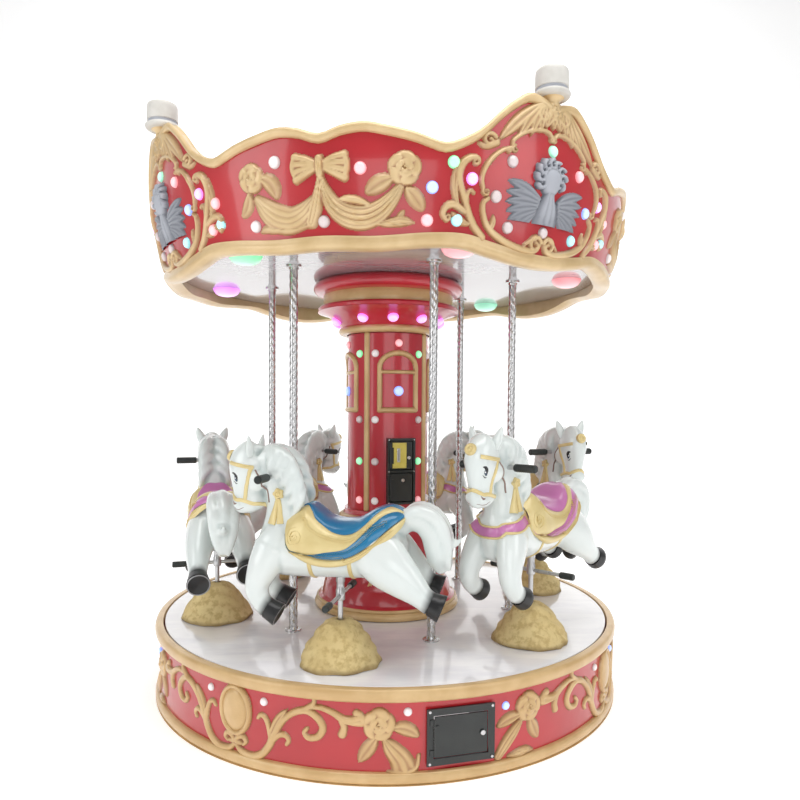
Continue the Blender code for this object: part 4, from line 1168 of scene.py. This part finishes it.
HIND_FAR = [(-0.165, -0.062, 0.790, 0.072, 0.100), (-0.222, -0.084, 0.745, 0.066, 0.092),
            (-0.276, -0.095, 0.704, 0.053, 0.070), (-0.316, -0.098, 0.668, 0.043, 0.054),
            (-0.340, -0.100, 0.642, 0.038, 0.043), (-0.366, -0.100, 0.625, 0.040, 0.043)]
for leg in (FORE_NEAR, FORE_FAR, HIND_NEAR, HIND_FAR):
    body.join(limb(leg, 24))
TAIL = [(-0.235, 0, 0.850, 0.036, 0.040), (-0.290, 0, 0.893, 0.048, 0.046), (-0.350, 0, 0.892, 0.058, 0.056),
        (-0.392, 0, 0.850, 0.062, 0.060), (-0.402, 0, 0.790, 0.056, 0.054), (-0.404, 0, 0.740, 0.042, 0.040),
        (-0.420, 0, 0.700, 0.020, 0.018)]
body.join(limb(TAIL, 28))
for y, lift in ((0.030, 0.004), (-0.030, -0.004), (0.0, 0.012)):
    body.join(limb([(-0.262, y * 0.6, 0.872 + lift, 0.016, 0.020), (-0.318, y, 0.925 + lift, 0.024, 0.026),
                    (-0.378, y * 1.3, 0.915 + lift, 0.028, 0.026),
                    (-0.420, y * 1.3, 0.868 + lift, 0.028, 0.026),
                    (-0.436, y * 1.1, 0.806, 0.026, 0.022), (-0.436, y * 0.8, 0.748, 0.018, 0.018),
                    (-0.448, y * 0.5, 0.704 + lift, 0.006, 0.006)], 16))
body.join(limb([(-0.425, 0.004, 0.852, 0.026, 0.022), (-0.446, 0.006, 0.815, 0.026, 0.020),
                (-0.470, 0.006, 0.812, 0.016, 0.012), (-0.494, 0.004, 0.836, 0.004, 0.004)], 14))


# Mane: thick wavy locks, moulded with the horse, that fall to both sides from the poll down to the
# withers, and a forelock between the ears.
MANE = [((0.262, 1.150), (0.225, 1.108), (0.252, 1.066)),
        ((0.238, 1.153), (0.190, 1.102), (0.218, 1.048)),
        ((0.205, 1.144), (0.160, 1.083), (0.190, 1.020)),
        ((0.178, 1.115), (0.142, 1.050), (0.176, 0.985)),
        ((0.152, 1.070), (0.126, 1.005), (0.160, 0.948)),
        ((0.134, 1.020), (0.115, 0.965), (0.140, 0.905))]
for i, (root, bend, tip) in enumerate(MANE):
    wide = 0.030 - 0.002 * i
    body.join(mirrored(limb([(root[0] + 0.012, 0.0, root[1] - 0.010, 0.016, wide * 0.8),
                             (root[0] - 0.006, 0.026, root[1] - 0.008, 0.018, wide),
                             (bend[0], 0.058, bend[1] + 0.012, 0.015, wide),
                             (bend[0] + 0.010, 0.066, bend[1] - 0.028, 0.013, wide * 0.8),
                             (tip[0], 0.066, tip[1], 0.005, 0.008)], 14)))
body.join(mirrored(limb([(0.300, 0.0, 1.150, 0.018, 0.018), (0.350, 0.010, 1.150, 0.018, 0.016),
                         (0.398, 0.015, 1.130, 0.016, 0.014), (0.424, 0.010, 1.104, 0.006, 0.007)], 14)))


def fused(form, voxel, rounds):
    """One even skin over overlapping closed forms, then smoothed."""
    raw = bpy.data.objects.new("raw", form.mesh("raw", []))
    bpy.context.scene.collection.objects.link(raw)
    remesh = raw.modifiers.new("fuse", "REMESH")
    remesh.mode, remesh.voxel_size = "VOXEL", voxel
    smooth = raw.modifiers.new("ease", "SMOOTH")
    smooth.factor, smooth.iterations = 0.5, rounds
    bpy.context.view_layer.update()
    mesh = bpy.data.meshes.new_from_object(raw.evaluated_get(bpy.context.evaluated_depsgraph_get()))
    bpy.data.objects.remove(raw)
    return mesh


def numbers(data, name, width):
    """One property of all vertices or edges as rows of numbers."""
    found = np.empty(len(data) * width, np.float32 if name != "vertices" else np.int32)
    data.foreach_get(name, found)
    return found.reshape(-1, width)


def hollows(mesh):
    """How far each vertex lies in a hollow: it is eased away and the move outwards is measured."""
    points = numbers(mesh.vertices, "co", 3).astype(float)
    normals = numbers(mesh.vertices, "normal", 3)
    edges = numbers(mesh.edges, "vertices", 2)
    eased = points.copy()
    valence = np.bincount(edges.ravel(), minlength=len(points))[:, None]
    for _ in range(14):
        total = np.zeros_like(eased)
        np.add.at(total, edges[:, 0], eased[edges[:, 1]])
        np.add.at(total, edges[:, 1], eased[edges[:, 0]])
        eased = 0.5 * eased + 0.5 * total / np.maximum(valence, 1)
    return ((eased - points) * normals).sum(1)


SOLES = ((FORE_NEAR, (0.189, 0.095, 0.528)), (FORE_FAR, (0.212, -0.092, 0.535)),
         (HIND_NEAR, (-0.432, 0.100, 0.590)), (HIND_FAR, (-0.402, -0.100, 0.612)))
HOOVES = [(np.array(leg[-1][:3]), np.array(sole)) for leg, sole in SOLES]
skin_mesh = fused(body, 0.0084, 2)
points = numbers(skin_mesh.vertices, "co", 3)
soot = np.zeros(len(points))
for top, sole in HOOVES:
    ahead = (sole - top) / np.linalg.norm(sole - top)
    along = (points - top) @ ahead
    near = np.linalg.norm(points - top, axis=1) < 0.085
    soot = np.maximum(soot, np.where(near, np.clip((along + 0.034) / 0.030, 0, 1), 0))
# The hollow value makes the white grey-green in creases and recesses: painted shade.
for name, value in (("soot", soot), ("hollow", np.clip(hollows(skin_mesh) / 0.0035, 0, 1))):
    skin_mesh.attributes.new(name, "FLOAT", "POINT").data.foreach_set("value", value.astype(np.float32))


def pony_white(name):
    """Gloss white, with painted shade in its hollows, and sooty over the hooves."""
    finish = Finish(name, Coat_Roughness=0.05)
    soot = finish.painted("soot")
    cloud = finish.noise(4.0, 2.0)
    skin = finish.mix(cloud.between(0.35, 0.7), (0.74, 0.800, 0.780), (0.79, 0.835, 0.815))
    # Grey-green in the hollows: painted shade.
    shaded = finish.mix(finish.painted("hollow"), skin, (0.52, 0.60, 0.585))
    finish.set(Base_Color=finish.mix(soot, shaded, (0.012, 0.012, 0.013)),
               Roughness=0.24 + 0.1 * cloud, Coat_Weight=1.0 - 0.75 * soot)
    return finish.rough(finish.noise(22.0, 1.0), 0.0010).material


white = pony_white("pony white")
skin_mesh.materials.clear()
skin_mesh.materials.append(white)
skin_mesh.shade_smooth()


def surface(mesh):
    return BVHTree.FromPolygons([v.co for v in mesh.vertices], [p.vertices for p in mesh.polygons])


skin_tree = surface(skin_mesh)
BAND_SHAPE = ((-1.0, 0.0), (-0.92, 0.45), (-0.55, 0.88), (0, 1.0), (0.55, 0.88), (0.92, 0.45), (1.0, 0.0))
BAND_ROOT = 0.002


def laid(path, wide, high, tree=skin_tree, shift=0.0, kind=0, steps=5):
    """Rounded band that follows a surface, through places near to it."""
    found = [tree.find_nearest(Vector(spot)) for spot in drawn(path, steps).tolist()]
    place = np.array([hit[0] for hit in found])
    out = np.array([hit[1] for hit in found])
    for _ in range(2 if len(out) > 4 else 0):
        padded = np.vstack([out[:1], out, out[-1:]])
        out = padded[:-2] + 1.5 * out + padded[2:]
    out /= np.linalg.norm(out, axis=1, keepdims=True)
    side = np.cross(out, np.gradient(place, axis=0))
    side /= np.linalg.norm(side, axis=1, keepdims=True) + 1e-9
    wide = np.atleast_1d(wide)
    wide = np.interp(np.linspace(0, 1, len(place)), np.linspace(0, 1, len(wide)), wide)[:, None]
    rows = []
    for across, up in BAND_SHAPE:
        rise = up * high if up else -BAND_ROOT
        rows.append(place + side * (shift + across * wide) + out * rise)
    return Form().skin(np.stack(rows, 1), kind=kind)


# Hooves: part of the same moulding, sprayed black, with a lighter worn edge round each sole. Those
# behind are a little bigger.
hoof_black = enamel("hoof black", (0.008, 0.008, 0.009), (0.003, 0.003, 0.004), 0.30, 0.15)
hoof_edge = enamel("hoof edge", (0.42, 0.42, 0.43), (0.24, 0.24, 0.25), 0.35)
hooves = Form()
for top, sole in HOOVES:
    ahead = (sole - top) / np.linalg.norm(sole - top)
    side = np.array([0.0, 1.0, 0.0])
    up = np.cross(ahead, side)
    length = np.linalg.norm(sole - top)
    hind = 1.12 if top[0] < 0 else 1.0
    angle = np.linspace(0, math.tau, 28, endpoint=False)[:, None]
    rings = []
    for share, reach in ((-0.10, 0.0385), (0.12, 0.0405), (0.6, 0.0435), (0.93, 0.0460), (1.0, 0.0450)):
        rings.append(top + ahead * share * length
                     + hind * reach * (np.cos(angle) * side * 0.94 + np.sin(angle) * up))
    hooves.skin(np.array(rings), across=True)
    sole_rings = [rings[-1]]
    for inset, depth in ((0.90, 0.0), (0.78, -0.004), (0.0, -0.006)):
        sole_rings.append(sole + ahead * depth + inset * (rings[-1] - sole))
    hooves.skin(np.array(sole_rings[:2]), across=True, kind=1)
    hooves.skin(np.array(sole_rings[1:]), across=True)
hoof_mesh = hooves.mesh("hooves", [hoof_black, hoof_edge], 45)


# Faces: eyes, nostrils and mouth, painted on the white by hand, and ears that are moulded apart
# and set in with filler. The white dot in each eye is a painted highlight.
eye_blue = enamel("eye blue", (0.045, 0.090, 0.150), (0.02, 0.045, 0.080), 0.1)
highlight = enamel("eye spark", (0.9, 0.9, 0.9), (0.85, 0.85, 0.85), 0.2)
line_brown = enamel("brown line", (0.26, 0.17, 0.14), (0.20, 0.12, 0.10), 0.4)
LID = [(0.408, 0.050, 1.053), (0.398, 0.056, 1.050), (0.390, 0.060, 1.040), (0.385, 0.062, 1.026)]
IRIS = [(0.396, 0.056, 1.040), (0.392, 0.058, 1.030), (0.389, 0.060, 1.019)]
# A white dot on the iris: a painted highlight.
GLINT = [(0.396, 0.056, 1.036), (0.394, 0.058, 1.031)]
LOWER_LID = [(0.405, 0.050, 1.022), (0.395, 0.056, 1.012), (0.385, 0.060, 1.012)]
NOSTRIL = [(0.400, 0.030, 0.944), (0.394, 0.038, 0.936), (0.386, 0.042, 0.936)]
MOUTH = [(0.398, 0.014, 0.917), (0.380, 0.034, 0.915), (0.355, 0.042, 0.922)]
face = laid(LID, (0.002, 0.0065, 0.0070, 0.002), 0.0014)
face.join(laid(IRIS, (0.004, 0.0085, 0.004), 0.0008, kind=1))
face.join(laid(GLINT, (0.0028, 0.0028), 0.0020, kind=2, steps=3))
face.join(laid(LOWER_LID, (0.0008, 0.0022, 0.0008), 0.0010))
face.join(laid(NOSTRIL, (0.0015, 0.0045, 0.0015), 0.0008, kind=3))
face.join(laid(MOUTH, (0.0010, 0.0016, 0.0008), 0.0008, kind=3))
face_mesh = mirrored(face).mesh("face", [hoof_black, eye_blue, highlight, line_brown], 60)
ear_rows = []
for share in np.linspace(0, 1, 9):
    reach = 0.0235 * math.sin(math.pi * (0.30 + 0.70 * share)) ** 0.75 + 0.0006
    centre = np.array([0.332 - 0.008 * share, 0.040 + 0.032 * share, 1.118 + 0.088 * share])
    ring = []
    for a in np.linspace(0, math.tau, 16, endpoint=False):
        dent = 0.45 if math.sin(a) > 0 else 1.0
        ring.append(centre + (reach * 0.72 * math.sin(a) * dent, reach * math.cos(a), 0))
    ear_rows.append(ring)
ear_mesh = mirrored(Form().skin(np.array(ear_rows), across=True)).mesh("ears", [white])


# Saddle: moulded with the horse and painted, with a colour for the seat and for one band. The
# gold flap has a bead round it and a scroll at its front corner.
TOP_LINE = [(0.166, 0.900), (0.150, 0.910), (0.115, 0.934), (0.084, 0.942), (0.046, 0.917), (0.018, 0.896),
            (-0.023, 0.887), (-0.064, 0.887), (-0.105, 0.895), (-0.139, 0.915), (-0.180, 0.936),
            (-0.220, 0.942), (-0.255, 0.934), (-0.286, 0.914)]
SEAT_EDGE = [(0.166, 0.900), (0.100, 0.938), (0.071, 0.922), (0.051, 0.895), (0.017, 0.869), (-0.023, 0.849),
             (-0.070, 0.843), (-0.109, 0.854), (-0.149, 0.886), (-0.181, 0.918), (-0.220, 0.940),
             (-0.255, 0.932), (-0.286, 0.912)]
FLAP_EDGE = [(0.166, 0.842), (0.162, 0.808), (0.150, 0.788), (0.137, 0.779), (0.068, 0.768), (0.0, 0.779),
             (-0.067, 0.792), (-0.107, 0.819), (-0.140, 0.851), (-0.179, 0.890), (-0.217, 0.919),
             (-0.255, 0.926), (-0.286, 0.910)]
BAND_EDGE = [(0.166, 0.840), (0.162, 0.806), (0.150, 0.786), (0.137, 0.777), (0.068, 0.766), (0.027, 0.755),
             (-0.027, 0.753), (-0.080, 0.763), (-0.133, 0.790), (-0.185, 0.830), (-0.236, 0.875),
             (-0.274, 0.903), (-0.286, 0.909)]
HEM = [(0.166, 0.838), (0.162, 0.803), (0.150, 0.780), (0.143, 0.772), (0.094, 0.742), (0.046, 0.724),
       (-0.008, 0.720), (-0.075, 0.733), (-0.148, 0.771), (-0.193, 0.801), (-0.245, 0.843),
       (-0.276, 0.878), (-0.286, 0.905)]
SADDLE_WAIST = 0.760
SADDLE_DEEP = 0.104
stations = np.linspace(0.1655, -0.2855, 84)
half_wide = np.interp(stations, [-0.286, -0.262, -0.225, -0.16, -0.08, 0.0, 0.08, 0.14, 0.166],
                      [0.080, 0.104, 0.124, 0.133, 0.126, 0.122, 0.124, 0.118, 0.106])


def along(table):
    """Height of an edge at each station of the saddle."""
    line = drawn(table, 6)
    order = np.argsort(line[:, 0])
    return np.interp(stations, line[order, 0], line[order, 1])


crown = along(TOP_LINE)


def at_height(level, swell):
    """Row of saddle points at a height, swollen outwards by some metres."""
    above = (level - SADDLE_WAIST) / (crown - SADDLE_WAIST)
    below = (SADDLE_WAIST - level) / SADDLE_DEEP
    share = np.clip(np.where(level > SADDLE_WAIST, above, below), 0, 1)
    power = np.where(level > SADDLE_WAIST, 2.5, 2.0)
    y = half_wide * (1 - share ** power) ** (1 / power)
    out_y = np.maximum(1 - share ** 2, 0) ** 0.5
    out_z = np.where(level > SADDLE_WAIST, 1, -1) * share
    return np.stack([stations, y + swell * out_y, level + swell * out_z], -1)


def zone(low, high, rows, base, swell, kind, power=0.5):
    """Swollen panel of the saddle between two edges."""
    lines = []
    for share in np.linspace(0, 1, rows):
        bulge = base + swell * max(math.sin(math.pi * share), 0.0) ** power
        lines.append(at_height(low + (high - low) * share, bulge))
    return Form().skin(np.array(lines), kind=kind)


hem, band_edge, flap_edge, seat_edge = (along(table) for table in (HEM, BAND_EDGE, FLAP_EDGE, SEAT_EDGE))
saddle = zone(hem, np.maximum(band_edge, hem), 6, -0.004, 0.010, 1)
saddle.join(zone(band_edge, np.maximum(flap_edge, band_edge), 6, 0.0015, 0.0035, 0))
saddle.join(zone(flap_edge, np.maximum(seat_edge, flap_edge), 9, 0.0020, 0.0060, 1, 0.35))
seat_rows = []
for share in np.sin(np.linspace(0, math.pi / 2, 12)):
    level = seat_edge + (crown - seat_edge) * share
    seat_rows.append(at_height(level, 0.003 + 0.004 * math.sin(math.pi * share) ** 0.5))
saddle.join(Form().skin(np.array(seat_rows), kind=0))
saddle = mirrored(saddle)
for end in (0, -1):
    cap = np.array([at_height(hem + (crown - hem) * share, 0.001)[end] for share in np.linspace(0, 1, 12)])
    saddle.skin(np.stack([cap, cap * (1, -1, 1)], 1)[:, ::(-1 if end else 1)], kind=1)
saddle_tree = surface(saddle.mesh("saddle", []))
BESIDE_SADDLE = 0.16


def bead(edge, wide, high, start, stop):
    """Rounded gold edge along a stretch of an edge, laid on the saddle."""
    picks = slice(start, stop, 3)
    return laid(np.stack([stations, half_wide + 0.05, edge], -1)[picks], wide, high, saddle_tree,
                kind=1, steps=3)


trim = bead(seat_edge, 0.0042, 0.0055, 10, 78).join(bead(flap_edge, 0.0034, 0.0045, 3, 74))
trim.join(bead(band_edge, 0.0036, 0.0048, 22, 80))
spiral = []
for t in np.linspace(0, 1, 26):
    turn = math.radians(100) - t * 1.6 * math.tau
    reach = 0.037 * (1 - t) ** 0.9 + 0.002
    spiral.append((0.130 + reach * math.cos(turn), BESIDE_SADDLE, 0.840 + reach * math.sin(turn)))
trim.join(laid(spiral, (0.0074, 0.0072, 0.0056), 0.0120, saddle_tree, kind=1, steps=2))
trim = mirrored(trim)


# Tack: a breast collar, girths, a bridle with a boss on the forehead, and a rosette with two tails
# on the neck. All are moulded in the skin and painted, and only pink horses have the collar.
tack = Form()
COLLAR = [(0.110, 0.105, 0.872), (0.160, 0.108, 0.850), (0.215, 0.102, 0.826), (0.262, 0.080, 0.806),
          (0.292, 0.042, 0.796), (0.302, 0.0, 0.793), (0.292, -0.042, 0.796), (0.262, -0.080, 0.806),
          (0.215, -0.102, 0.826), (0.160, -0.108, 0.850), (0.110, -0.105, 0.872)]
collar = laid(COLLAR, 0.0190, 0.0050, kind=0, steps=8)
for shift in (-0.0215, 0.0215):
    collar.join(laid(COLLAR, 0.0046, 0.0085, shift=shift, kind=1, steps=8))
for u in (0.069, -0.086):
    girth = [(u, 0.12 * math.cos(a), 0.745 + 0.12 * math.sin(a))
             for a in np.linspace(0, -math.pi, 15)]
    tack.join(laid(girth, 0.0085, 0.0042, kind=1, steps=4))
BROWBAND = [(0.400, 0.020, 1.094), (0.384, 0.050, 1.090), (0.345, 0.062, 1.083), (0.306, 0.066, 1.078)]
CHEEKPIECE = [(0.312, 0.064, 1.084), (0.326, 0.064, 1.060), (0.338, 0.060, 1.024),
              (0.346, 0.054, 0.985), (0.352, 0.048, 0.952)]
THROAT_CORD = [(0.304, 0.062, 1.072), (0.284, 0.060, 1.040), (0.272, 0.060, 1.000), (0.262, 0.060, 0.945)]
NOSEBAND = [(0.420, 0.0, 0.968), (0.410, 0.026, 0.962), (0.390, 0.046, 0.955), (0.352, 0.056, 0.948),
            (0.312, 0.048, 0.938), (0.284, 0.024, 0.932), (0.278, 0.0, 0.930)]
FRONT_TAIL = [(0.216, 0.09, 0.965), (0.224, 0.09, 0.935), (0.232, 0.09, 0.905), (0.240, 0.09, 0.876)]
BACK_TAIL = [(0.206, 0.09, 0.965), (0.202, 0.09, 0.935), (0.198, 0.09, 0.905), (0.194, 0.09, 0.872)]
bridle = laid(BROWBAND, 0.0080, 0.0050, kind=1)
bridle.join(laid(CHEEKPIECE, 0.0080, 0.0050, kind=1))
bridle.join(laid(THROAT_CORD, 0.0034, 0.0034, kind=2))
bridle.join(laid(NOSEBAND, 0.0078, 0.0052, kind=1))
bridle.join(laid(FRONT_TAIL, (0.006, 0.011, 0.015, 0.020), 0.0060, kind=1))
bridle.join(laid(BACK_TAIL, (0.006, 0.009, 0.012, 0.015), 0.0080, kind=1))
tack.join(mirrored(bridle))


def knob(place, out, size, high, petals=0):
    """Round boss, or a small flower, that faces along out."""
    out = np.array(out, float) / np.linalg.norm(out)
    side = np.cross(out, (0.0, 0.0, 1.0))
    side /= np.linalg.norm(side)
    up = np.cross(side, out)
    angle = np.linspace(0, math.tau, 40, endpoint=False)[:, None, None]
    share = np.array([1.0, 0.98, 0.86, 0.62, 0.42, 0.26, 0.0])[None, :, None]
    level = np.array([-0.5, 0.35, 0.90, 1.0, 0.72, 0.95, 1.05])[None, :, None]
    reach = size * share * (1 + 0.14 * np.cos(petals * angle) * share if petals else 1)
    rows = np.array(place) + reach * (np.cos(angle) * side + np.sin(angle) * up) + high * level * out
    return Form().skin(rows, around=True, kind=1)


spot, out = skin_tree.find_nearest(Vector((0.445, 0.0, 1.128)))[:2]
tack.join(knob(spot, out, 0.024, 0.010))
spot, out = skin_tree.find_nearest(Vector((0.210, 0.12, 0.985)))[:2]
tack.join(mirrored(knob(spot, out, 0.021, 0.012, 5)))


# Rod: a bright steel tube that comes up out of the rock into a sleeve under the belly. A bar through
# the sleeve is the foot rest, and one through the neck is the handle, both with rubber grips.
grip_rubber = powder_coat("grip rubber", 0.0)
handle = moved_to(0.267, 0, 1.045)
foot_rest = moved_to(0, 0, 0.590)
along_y = Matrix.Rotation(math.radians(-90), 4, "X")


def grip(radius, near, far):
    """Ribbed rubber grip along +Y."""
    line = [(0.0, near), (radius * 0.8, near), (radius, near + 0.004)]
    for i in range(9):
        y = near + 0.010 + (far - near - 0.022) * i / 8
        line += [(radius, y), (radius * 1.05, y + 0.002), (radius * 1.05, y + 0.005), (radius, y + 0.007)]
    line += [(radius, far - 0.004), (radius * 0.84, far - 0.0005), (0.0, far)]
    return lathe(line, 20).moved(along_y)


grips = Form()
for turn in (0, 180):
    turned = Matrix.Rotation(math.radians(turn), 4, "Z")
    grips.join(grip(0.0152, 0.080, 0.175).moved(handle @ turned))
    grips.join(grip(0.0134, 0.136, 0.199).moved(foot_rest @ turned))
handle_bar = lathe([(0.0092, -0.11), (0.0092, 0.11)], 20).moved(handle @ along_y)
rod = lathe([(0.0, 0.3975), (0.0095, 0.3975), (0.0100, 0.400), (0.0100, 0.574)], 28)
rod.join(lathe([(0.0100, 0.572), (0.0165, 0.5725), (0.0178, 0.575), (0.0178, 0.612), (0.0150, 0.616),
                (0.0150, 0.640), (0.0176, 0.644), (0.0176, 0.690)], 32))
rod.join(lathe([(0.0080, -0.15), (0.0080, 0.15)], 20).moved(foot_rest @ along_y))
rod_steel = bright_steel("rod steel", 0.50, 0.20)

skin_all = bmesh.new()
skin_all.from_mesh(skin_mesh)
skin_all.from_mesh(ear_mesh)
skin_all.to_mesh(skin_mesh)
skin_all.free()
grip_mesh = grips.mesh("grips", [grip_rubber], 40)
bar_mesh = handle_bar.mesh("handle bar", [rod_steel])
rod_mesh = rod.mesh("rod", [rod_steel])
saddle_gold = gold_paint("saddle gold paint", (0.50, 0.330, 0.130), (0.72, 0.570, 0.250),
                         (0.80, 0.660, 0.320))
SADDLE_SHADES = {"blue": ((0.002, 0.220, 0.430), (0.001, 0.150, 0.330)),
                 "pink": ((0.64, 0.225, 0.500), (0.54, 0.165, 0.410))}
covers = {}
for color, shades in SADDLE_SHADES.items():
    paints = [lacquer(f"{color} lacquer", *shades), saddle_gold, line_brown]
    cover = Form().join(saddle).join(trim)
    straps = Form().join(tack)
    if color == "pink":
        straps.join(collar)
    covers[color] = (cover.mesh(f"{color} saddle", paints, 50), straps.mesh(f"{color} tack", paints, 50))

# Each horse stands at its own height at rest, and sits a little ahead of its rod.
REST_LIFTS = (0.0, 0.04, 0.05, 0.0, 0.0, 0.0)
RIDE_FORWARD = 0.023
for k, color in enumerate(("blue", "pink", "blue", "pink", "pink", "pink")):
    name = f"horse_{k + 1}"
    spot = at(HORSE_AZIMUTH + 60 * k, HORSE_RADIUS, REST_LIFTS[k]) @ Matrix.Rotation(math.pi, 4, "Z")
    seated = spot @ moved_to(RIDE_FORWARD, 0, 0)
    cover_mesh, tack_mesh = covers[color]
    show(f"{name} skin", skin_mesh, name, [f"{name}_figure"], seated)
    show(f"{name} hooves", hoof_mesh, name, (), seated)
    show(f"{name} face", face_mesh, name, (), seated)
    show(f"{name} saddle cover", cover_mesh, name, [f"{name}_saddle"], seated)
    show(f"{name} tack", tack_mesh, name, (), seated)
    show(f"{name} grips", grip_mesh, name, (), spot)
    show(f"{name} handle bar", bar_mesh, name, (), spot)
    show(f"{name} rod tube", rod_mesh, name, [f"{name}_rod"], spot)


# Studio: a pale floor that curves up into a backdrop, soft lights above, in front and at both
# sides, and the camera at the photograph's place.
def studio_white(name):
    finish = Finish(name, Roughness=0.85, Emission_Color=(1.0, 1.0, 1.0), Emission_Strength=0.36)
    cloud = finish.noise(1.3, 2.0)
    return finish.set(Base_Color=finish.mix(cloud, (0.94, 0.94, 0.94), (0.96, 0.96, 0.96))).material


FLOOR_REACH = 14.0
BACK_EDGE, BACK_BEND = 3.6, 2.2
bend = [(BACK_EDGE + BACK_BEND * math.sin(a), BACK_BEND - BACK_BEND * math.cos(a))
        for a in np.linspace(0.2, math.pi / 2, 8)]
backdrop = [(-9.0, 0.0), (BACK_EDGE, 0.0), *bend, (BACK_EDGE + BACK_BEND, 9.0)]
floor = Form().skin([[(-FLOOR_REACH, y, z), (FLOOR_REACH, y, z)] for y, z in backdrop])
floor_thing = bpy.data.objects.new("floor", floor.mesh("floor", [studio_white("studio floor")]))
bpy.context.scene.collection.objects.link(floor_thing)


def soft_light(name, place, aim, size, power):
    """Wide lamp at a place, turned towards what it lights."""
    light = bpy.data.lights.new(name, "AREA")
    light.shape = "RECTANGLE"
    light.size, light.size_y = size
    light.energy = power
    thing = bpy.data.objects.new(name, light)
    thing.location = place
    thing.rotation_mode = "QUATERNION"
    thing.rotation_quaternion = (Vector(aim) - Vector(place)).to_track_quat("-Z", "Y")
    bpy.context.scene.collection.objects.link(thing)


MIDDLE = (0.0, 0.0, 1.2)
soft_light("ceiling light", (0.4, -1.6, 5.2), MIDDLE, (4.5, 3.0), 135)
soft_light("left light", (-4.6, -3.4, 2.6), MIDDLE, (2.6, 3.4), 62)
soft_light("right light", (4.4, -3.8, 2.9), MIDDLE, (2.4, 3.2), 46)
soft_light("front light", (0.3, -6.0, 1.7), MIDDLE, (3.2, 1.8), 30)
soft_light("backdrop light", (0.0, 3.0, 6.3), (0.0, 5.8, 1.2), (7.0, 1.4), 110)
world = bpy.data.worlds.new("studio")
world.use_nodes = True
air = world.node_tree.nodes["Background"]
air.inputs["Color"].default_value = (1.0, 1.0, 1.0, 1.0)
air.inputs["Strength"].default_value = 0.34
bpy.context.scene.world = world
bpy.context.scene.view_settings.view_transform = "Standard"

PHOTO_FOCAL = 686.0
PHOTO_WIDTH = 800.0
camera = bpy.data.cameras.new("camera")
camera.sensor_width = 36.0
camera.lens = PHOTO_FOCAL / PHOTO_WIDTH * camera.sensor_width
camera.shift_y = 0.0375
camera_thing = bpy.data.objects.new("camera", camera)
CAMERA_PLACE = (0.0, -3.431, 1.321)
CAMERA_YAW, CAMERA_PITCH, CAMERA_ROLL = 1.04, 2.03, -0.37
camera_thing.matrix_world = (Matrix.Translation(CAMERA_PLACE)
                             @ Matrix.Rotation(math.radians(-CAMERA_YAW), 4, "Z")
                             @ Matrix.Rotation(math.radians(90 - CAMERA_PITCH), 4, "X")
                             @ Matrix.Rotation(math.radians(-CAMERA_ROLL), 4, "Z"))
bpy.context.scene.collection.objects.link(camera_thing)
bpy.context.scene.camera = camera_thing
